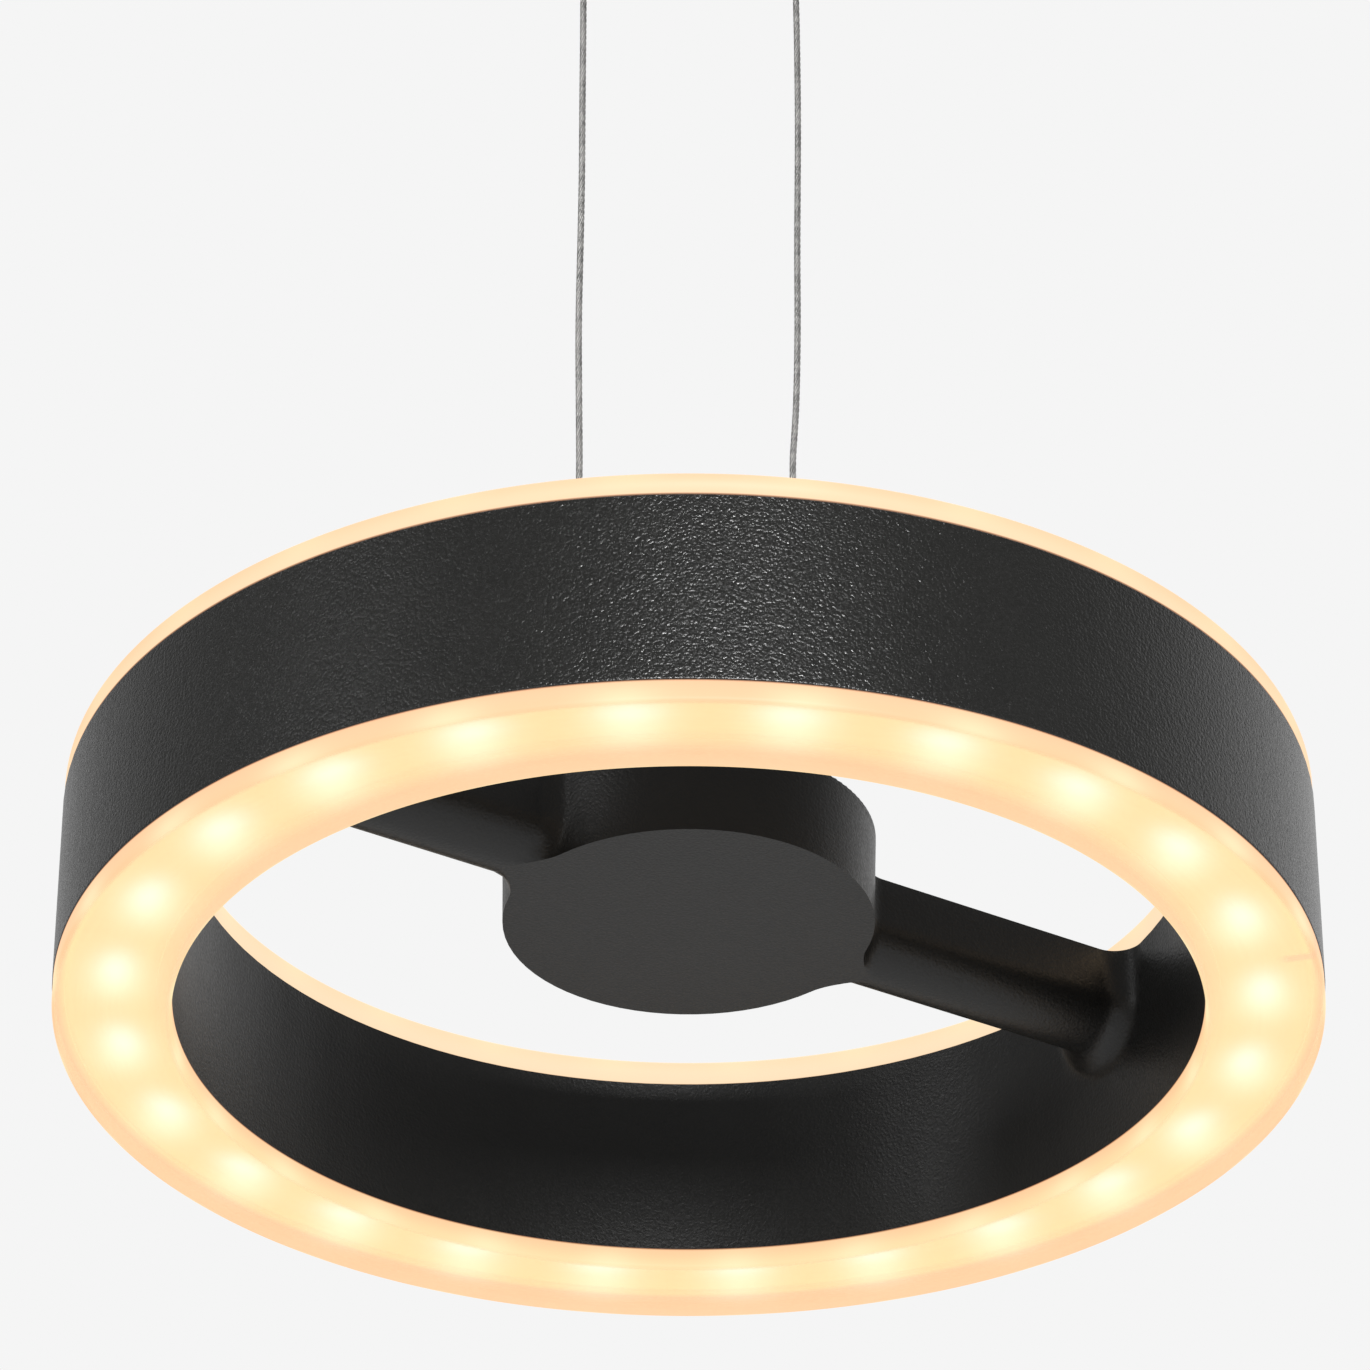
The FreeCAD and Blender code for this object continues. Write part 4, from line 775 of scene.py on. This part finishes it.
# %% [markdown]
# ## Pieces that keep their solid's mesh
# The covers over the bridge's channels and over the hub are painted with the casting. The canopy is coated
# the same way, and evenly. Their shapes are already right in the solids, so they only get a finish: the
# material in the node's mesh is exchanged, and the node stays where the model puts it.

# %% Coated covers and canopy
def dress(names, finish):
    """Gives a finish to nodes that stay as the solids made them."""
    for name in names.split():
        mesh = nodes[name].data
        mesh.materials.clear()
        mesh.materials.append(finish)


dress("bridge_cover_left bridge_cover_right hub_cover", black_coat)
dress("canopy_cover", powder_coat("canopy_powder_coat"))
print("covers and canopy coated")

# %% [markdown]
# ## Metals
# Strap, screws, tags and grippers are stamped, drawn or turned, and most are plated. They are small, so what
# shows is the colour of the metal, a fine grain from the tool, and a slight cloudiness of the plating. A
# turned part's grain runs round it, and wound wire shows its windings, so the grain can be drawn out.

# %% Metal finish
def metal(name, dark, light, rough, grain=0.3, cloud=4.0, stretch=(1.0, 1.0, 1.0), depth=0.006):
    """A metal whose colour clouds between two shades, with a fine grain that may run one way."""
    finish, tree, spot = new_finish(name)
    clouds = noise(spot, cloud, 3.0, 0.55)
    fine = noise(scaled(spot, stretch), grain, 3.0, 0.65)
    colour = clouds.step(0.35, 0.65).blend(dark, light)
    varying = {"Base Color": colour, "Roughness": fine.step(0.42, 0.58, *rough),
               "Normal": bumped(fine, depth, 0.6)}
    return close_finish(finish, tree, varying, {"Metallic": 1.0})


print("metal finish ready")

# %% [markdown]
# Zinc-plated steel for what the canopy and the ring are screwed together with, black zinc for the screws
# that show, brass for what carries current and for the ball cages, nickel for the grippers and for the
# wires' stops and ball ends, and bare steel for the grippers' balls and springs. The coil is enamelled
# copper, whose windings run round it.

# %% Metal parts
zinc = metal("bright_zinc", rgb(0.50, 0.51, 0.53), rgb(0.66, 0.66, 0.66), (0.26, 0.44), 0.4, 3.0)
black_zinc = metal("black_zinc", rgb(0.030, 0.030, 0.031), rgb(0.060, 0.060, 0.058), (0.35, 0.5), 0.25, 2.0)
brass = metal("plain_brass", rgb(0.60, 0.43, 0.18), rgb(0.76, 0.57, 0.28), (0.22, 0.42), 0.25, 2.5)
nickel = metal("turned_nickel", rgb(0.55, 0.54, 0.50), rgb(0.70, 0.69, 0.65), (0.16, 0.30), 0.9, 3.0,
               (1.0, 1.0, 9.0), 0.004)
bright_steel = metal("bright_steel", rgb(0.62, 0.62, 0.64), rgb(0.76, 0.76, 0.77), (0.08, 0.2), 0.5, 2.0)
copper = metal("wound_copper", rgb(0.42, 0.16, 0.06), rgb(0.68, 0.32, 0.14), (0.25, 0.4), 0.22, 1.5,
               (0.3, 9.0, 9.0), 0.05)
dress("ceiling_strap earth_screw board_screws_lower board_screws_upper anchor_screws terminal_screws", zinc)
dress("canopy_screws hub_cover_screws", black_zinc)
dress("earth_tag output_tags anchor_sockets board_links gripper_cage_left gripper_cage_right", brass)
dress("swivel_seats seat_nuts gripper_body_left gripper_body_right gripper_cap_left gripper_cap_right", nickel)
dress("release_nib_left release_nib_right wire_stops wire_end_balls", nickel)
dress("gripper_balls_left gripper_balls_right gripper_spring_left gripper_spring_right", bright_steel)
dress("transformer_coil", copper)
print("metals ready")

# %% [markdown]
# ## Plastics, rubber and foam
# Moulded parts have the faint grain that spark erosion leaves in a mould, and a slight unevenness of
# colour. Foam tape shows its cut cells, and rubber is duller than plastic. One function does for all,
# because they differ only in shade, gloss, and the size and depth of the grain.

# %% Plastic finish
def moulded(name, dark, light, rough, grain=0.25, depth=0.012, cloud=5.0, cells=False, gloss=0.4):
    """A plastic or rubber whose colour varies softly, with a grain or open cells, and painted shade in their
    hollows.
    """
    finish, tree, spot = new_finish(name)
    relief = 1.0 - pebbles(spot, grain) if cells else noise(spot, grain, 3.0, 0.6)
    colour = noise(spot, cloud).step(0.3, 0.7).blend(dark, light)
    # Painted shade: where the grain or the cells are low, the colour is darkened towards the dark shade.
    colour = relief.step(0.45, 0.2, 0.0, 0.35).blend(colour, dark)
    varying = {"Base Color": colour, "Roughness": relief.step(0.3, 0.7, *rough),
               "Normal": bumped(relief, depth, 0.8)}
    return close_finish(finish, tree, varying, {"Specular IOR Level": gloss})


print("plastic finish ready")

# %% [markdown]
# Terminal, anchor block and insulators are natural nylon, which stands heat and is slightly cream. The
# driver's case is plain white-grey plastic, its core pressed ferrite. Leads are sheathed in silicone.

# %% Plastic, rubber and foam parts
nylon = moulded("natural_nylon", rgb(0.70, 0.69, 0.64), rgb(0.80, 0.79, 0.75), (0.38, 0.52))
case_plastic = moulded("moulded_case", rgb(0.68, 0.68, 0.66), rgb(0.76, 0.76, 0.74), (0.45, 0.62), 0.35, 0.03)
dark_ferrite = moulded("pressed_ferrite", rgb(0.045, 0.045, 0.050), rgb(0.075, 0.075, 0.080), (0.5, 0.75),
                       0.3, 0.03)
foam = moulded("foam_tape", rgb(0.55, 0.55, 0.55), rgb(0.72, 0.72, 0.71), (0.8, 0.95), 0.35, 0.12, 4.0,
               cells=True, gloss=0.2)
rubber = moulded("black_rubber", rgb(0.020, 0.020, 0.020), rgb(0.036, 0.036, 0.035), (0.5, 0.68), 0.3, 0.02)
silicone = moulded("silicone_sheath", rgb(0.66, 0.64, 0.58), rgb(0.76, 0.74, 0.69), (0.42, 0.55), 0.5, 0.01)
dress("mains_terminal anchor_block seat_insulators insulating_washers", nylon)
dress("driver_case driver_lid", case_plastic)
dress("transformer_core driver_capacitors", dark_ferrite)
dress("adhesive_pads", foam)
dress("wire_bushings lead_grommets", rubber)
dress("mains_leads output_leads bridge_leads", silicone)
print("plastics ready")

# %% [markdown]
# ## The driver's board
# The board is green, with copper tracks under its lacquer. Real tracks are etched from a drawing. Nobody
# sees this board without opening the driver, so two crossed waves that a noise bends give tracks enough.

# %% Driver board
def driver_board_finish():
    """Green lacquer over tracks: thresholded stripes both ways, a little raised and paler."""
    finish, tree, spot = new_finish("green_board")
    x, y, _ = axes(spot)
    wander = noise(spot, 6.0, 1.0) * 4.0
    track = ((x * 3.4 + wander).sine() * (y * 2.6 + wander).cosine()).step(0.05, 0.15)
    weave = noise(spot, 0.3, 2.0)
    colour = track.blend(rgb(0.018, 0.12, 0.045), rgb(0.045, 0.24, 0.09))
    varying = {"Base Color": colour, "Roughness": weave.step(0.3, 0.7, 0.25, 0.38),
               "Normal": bumped(track * 0.8 + weave * 0.2, 0.04, 0.8)}
    return close_finish(finish, tree, varying, {})


dress("driver_board", driver_board_finish())
print("driver board ready")

# %% [markdown]
# ## Lamp boards and lamps
# The lamp boards are rings of aluminium with a white lacquer that throws stray light back. Their tracks
# show as faint steps: rings, broken half way between lamps. Each lamp is a square of yellow phosphor. A
# phosphor shows its grains close up and is lit, but faintly here, because the diffusers carry the glow.

# %% Lamp boards and lamps
def lamp_board_finish():
    """White lacquer with two raised ring tracks and a break half way between lamps."""
    finish, tree, spot = new_finish("white_lamp_board")
    _, along, off = glow_parts(spot)
    track = (off * 1.9 + 0.6).sine().step(-0.2, 0.2) * abs(along).step(12.4, 12.1)
    grit = noise(spot, 0.35, 2.0)
    colour = track.blend(rgb(0.80, 0.80, 0.78), rgb(0.86, 0.86, 0.845))
    varying = {"Base Color": colour, "Roughness": grit.step(0.3, 0.7, 0.32, 0.48),
               "Normal": bumped(track * 0.8 + grit * 0.2, 0.05, 0.8)}
    return close_finish(finish, tree, varying, {})


def lamp_finish():
    """A square of yellow phosphor with fine grains, faintly lit."""
    finish, tree, spot = new_finish("lamp_phosphor")
    grain = noise(spot, 0.12, 2.0)
    colour = grain.step(0.3, 0.7).blend(rgb(0.80, 0.52, 0.10), rgb(0.95, 0.72, 0.22))
    shine = grain.step(0.3, 0.7).blend(rgb(0.95, 0.80, 0.50), rgb(1.0, 0.90, 0.62))
    varying = {"Base Color": colour, "Emission Color": shine, "Normal": bumped(grain, 0.01, 0.5)}
    return close_finish(finish, tree, varying, {"Emission Strength": 1.0, "Roughness": 0.3})


dress("lamp_board_lower lamp_board_upper", lamp_board_finish())
dress("lamps_lower lamps_upper", lamp_finish())
print("lamp boards and lamps ready")

# %% [markdown]
# ## The earth lead
# By rule an earth lead is green and yellow along its whole length. The sheath is extruded in both colours
# at once, so its stripe has an edge but no step: a wave over the place, cut off sharply, draws it.

# %% Earth lead
def earth_sheath_finish():
    """Green sheath with a yellow stripe: a sine of the place, turned into two plain colours."""
    finish, tree, spot = new_finish("green_yellow_sheath")
    x, y, z = axes(spot)
    stripe = ((x + y * 0.6) * 1.9 + z * 0.15).sine().step(-0.1, 0.1)
    fine = noise(spot, 0.4, 2.0)
    colour = stripe.blend(rgb(0.06, 0.30, 0.07), rgb(0.78, 0.62, 0.05))
    varying = {"Base Color": colour, "Roughness": fine.step(0.3, 0.7, 0.38, 0.5),
               "Normal": bumped(fine, 0.01, 0.5)}
    return close_finish(finish, tree, varying, {})


dress("earth_lead", earth_sheath_finish())
print("earth lead ready")

# %% [markdown]
# ## The floor
# The light hangs at a ceiling, so the floor is 2.4 m under it. It is far out of the photograph, which
# looks upward, and shows only from above and in what the metal reflects. A wide pale sheet is enough.

# %% Floor
FLOOR, HALF_FLOOR = -2.4, 40  # metres
floor_corners = [(-HALF_FLOOR, -HALF_FLOOR, FLOOR), (HALF_FLOOR, -HALF_FLOOR, FLOOR),
                 (HALF_FLOOR, HALF_FLOOR, FLOOR), (-HALF_FLOOR, HALF_FLOOR, FLOOR)]
floor_mesh = bpy.data.meshes.new("floor")
floor_mesh.from_pydata(floor_corners, [], [(0, 1, 2, 3)])
floor = bpy.data.objects.new("floor", floor_mesh)
bpy.context.scene.collection.objects.link(floor)
floor_finish, floor_tree, floor_spot = new_finish("pale_floor")
floor_tone = noise(floor_spot, 400.0).blend(rgb(0.74, 0.74, 0.74), rgb(0.77, 0.77, 0.77))
close_finish(floor_finish, floor_tree, {"Base Color": floor_tone}, {"Roughness": 0.9})
floor_mesh.materials.append(floor_finish)
print("floor at", FLOOR)

# %% [markdown]
# ## The background
# The background in the photograph is a plain near white. The sky is that white only where the camera looks
# straight at it. What a glossy surface reflects is dark in front and bright behind, a little brighter to
# the right, as in a room with one white wall: that gives the coat its shading. What the sky sheds on dull
# surfaces is plain and dimmer, so that the black coat stays black.

# %% Background
PAPER = seen(245, 245, 245)[0]
SHED = 0.75  # the sky's brightness for dull surfaces
world = bpy.data.worlds.new("studio")
bpy.context.scene.world = world
world.use_nodes = True
sky = world.node_tree
sky.nodes.clear()
to_camera, to_gloss, through = [add_node(sky, "ShaderNodeLightPath", output=name)
                                for name in ("Is Camera Ray", "Is Glossy Ray", "Is Transmission Ray")]
way = add_node(sky, "ShaderNodeTexCoord", output="Generated")
behind_it, beside_it = (*turned(0, 1), 0.0), (*turned(1, 0), 0.0)
away = way.vector("DOT_PRODUCT", way, behind_it, output=1)
across = way.vector("DOT_PRODUCT", way, beside_it, output=1)
backdrop = away.step(-0.25, 0.88) * (across * 0.33 + 0.57) + 0.16
seen_straight = to_camera.sum_of("MAXIMUM", to_camera, through)
level = seen_straight * PAPER + (1.0 - seen_straight) * (to_gloss * backdrop + (1.0 - to_gloss) * SHED)
back = add_node(sky, "ShaderNodeBackground", None, {"Color": rgb(1, 1, 1), "Strength": level})
sky_out = sky.nodes.new("ShaderNodeOutputWorld")
sky.links.new(back.socket, sky_out.inputs["Surface"])
print("background brightness", round(PAPER, 3))

# %% [markdown]
# ## The lamps
# Three square softboxes, all aimed at the ring. The one in front, low and large, draws the pale band on
# the wall's near side. The small one at the left lights that side of the wall, and stays above the
# canopy's floor, which would shine if it were lit at a grazing angle. The large one overhead fills the top.

# %% Lamps
AIM = np.array([0, 0, -0.3])  # the middle of the ring, in metres


def soft_lamp(name, across, away, height, width, power):
    """A square lamp at a place given in the camera's directions, turned to the ring."""
    lamp = bpy.data.lights.new(name, "AREA")
    lamp.shape, lamp.size, lamp.energy = "SQUARE", width, power
    holder = bpy.data.objects.new(name, lamp)
    x, y = turned(across, away)
    spot = np.array([x, y, height])
    holder.location = spot.tolist()
    aim = AIM - spot
    flat = math.hypot(aim[0], aim[1])
    holder.rotation_euler = (math.atan2(flat, -aim[2]), 0, math.atan2(-aim[0], aim[1]))
    bpy.context.scene.collection.objects.link(holder)


soft_lamp("front_softbox", across=0.20, away=-1.7, height=-0.33, width=0.40, power=41)
soft_lamp("left_softbox", across=-1.35, away=-0.85, height=0.13, width=0.3, power=2.2)
soft_lamp("high_softbox", across=0.0, away=0.3, height=1.7, width=1.6, power=14)
print("softboxes aimed at", AIM.tolist())
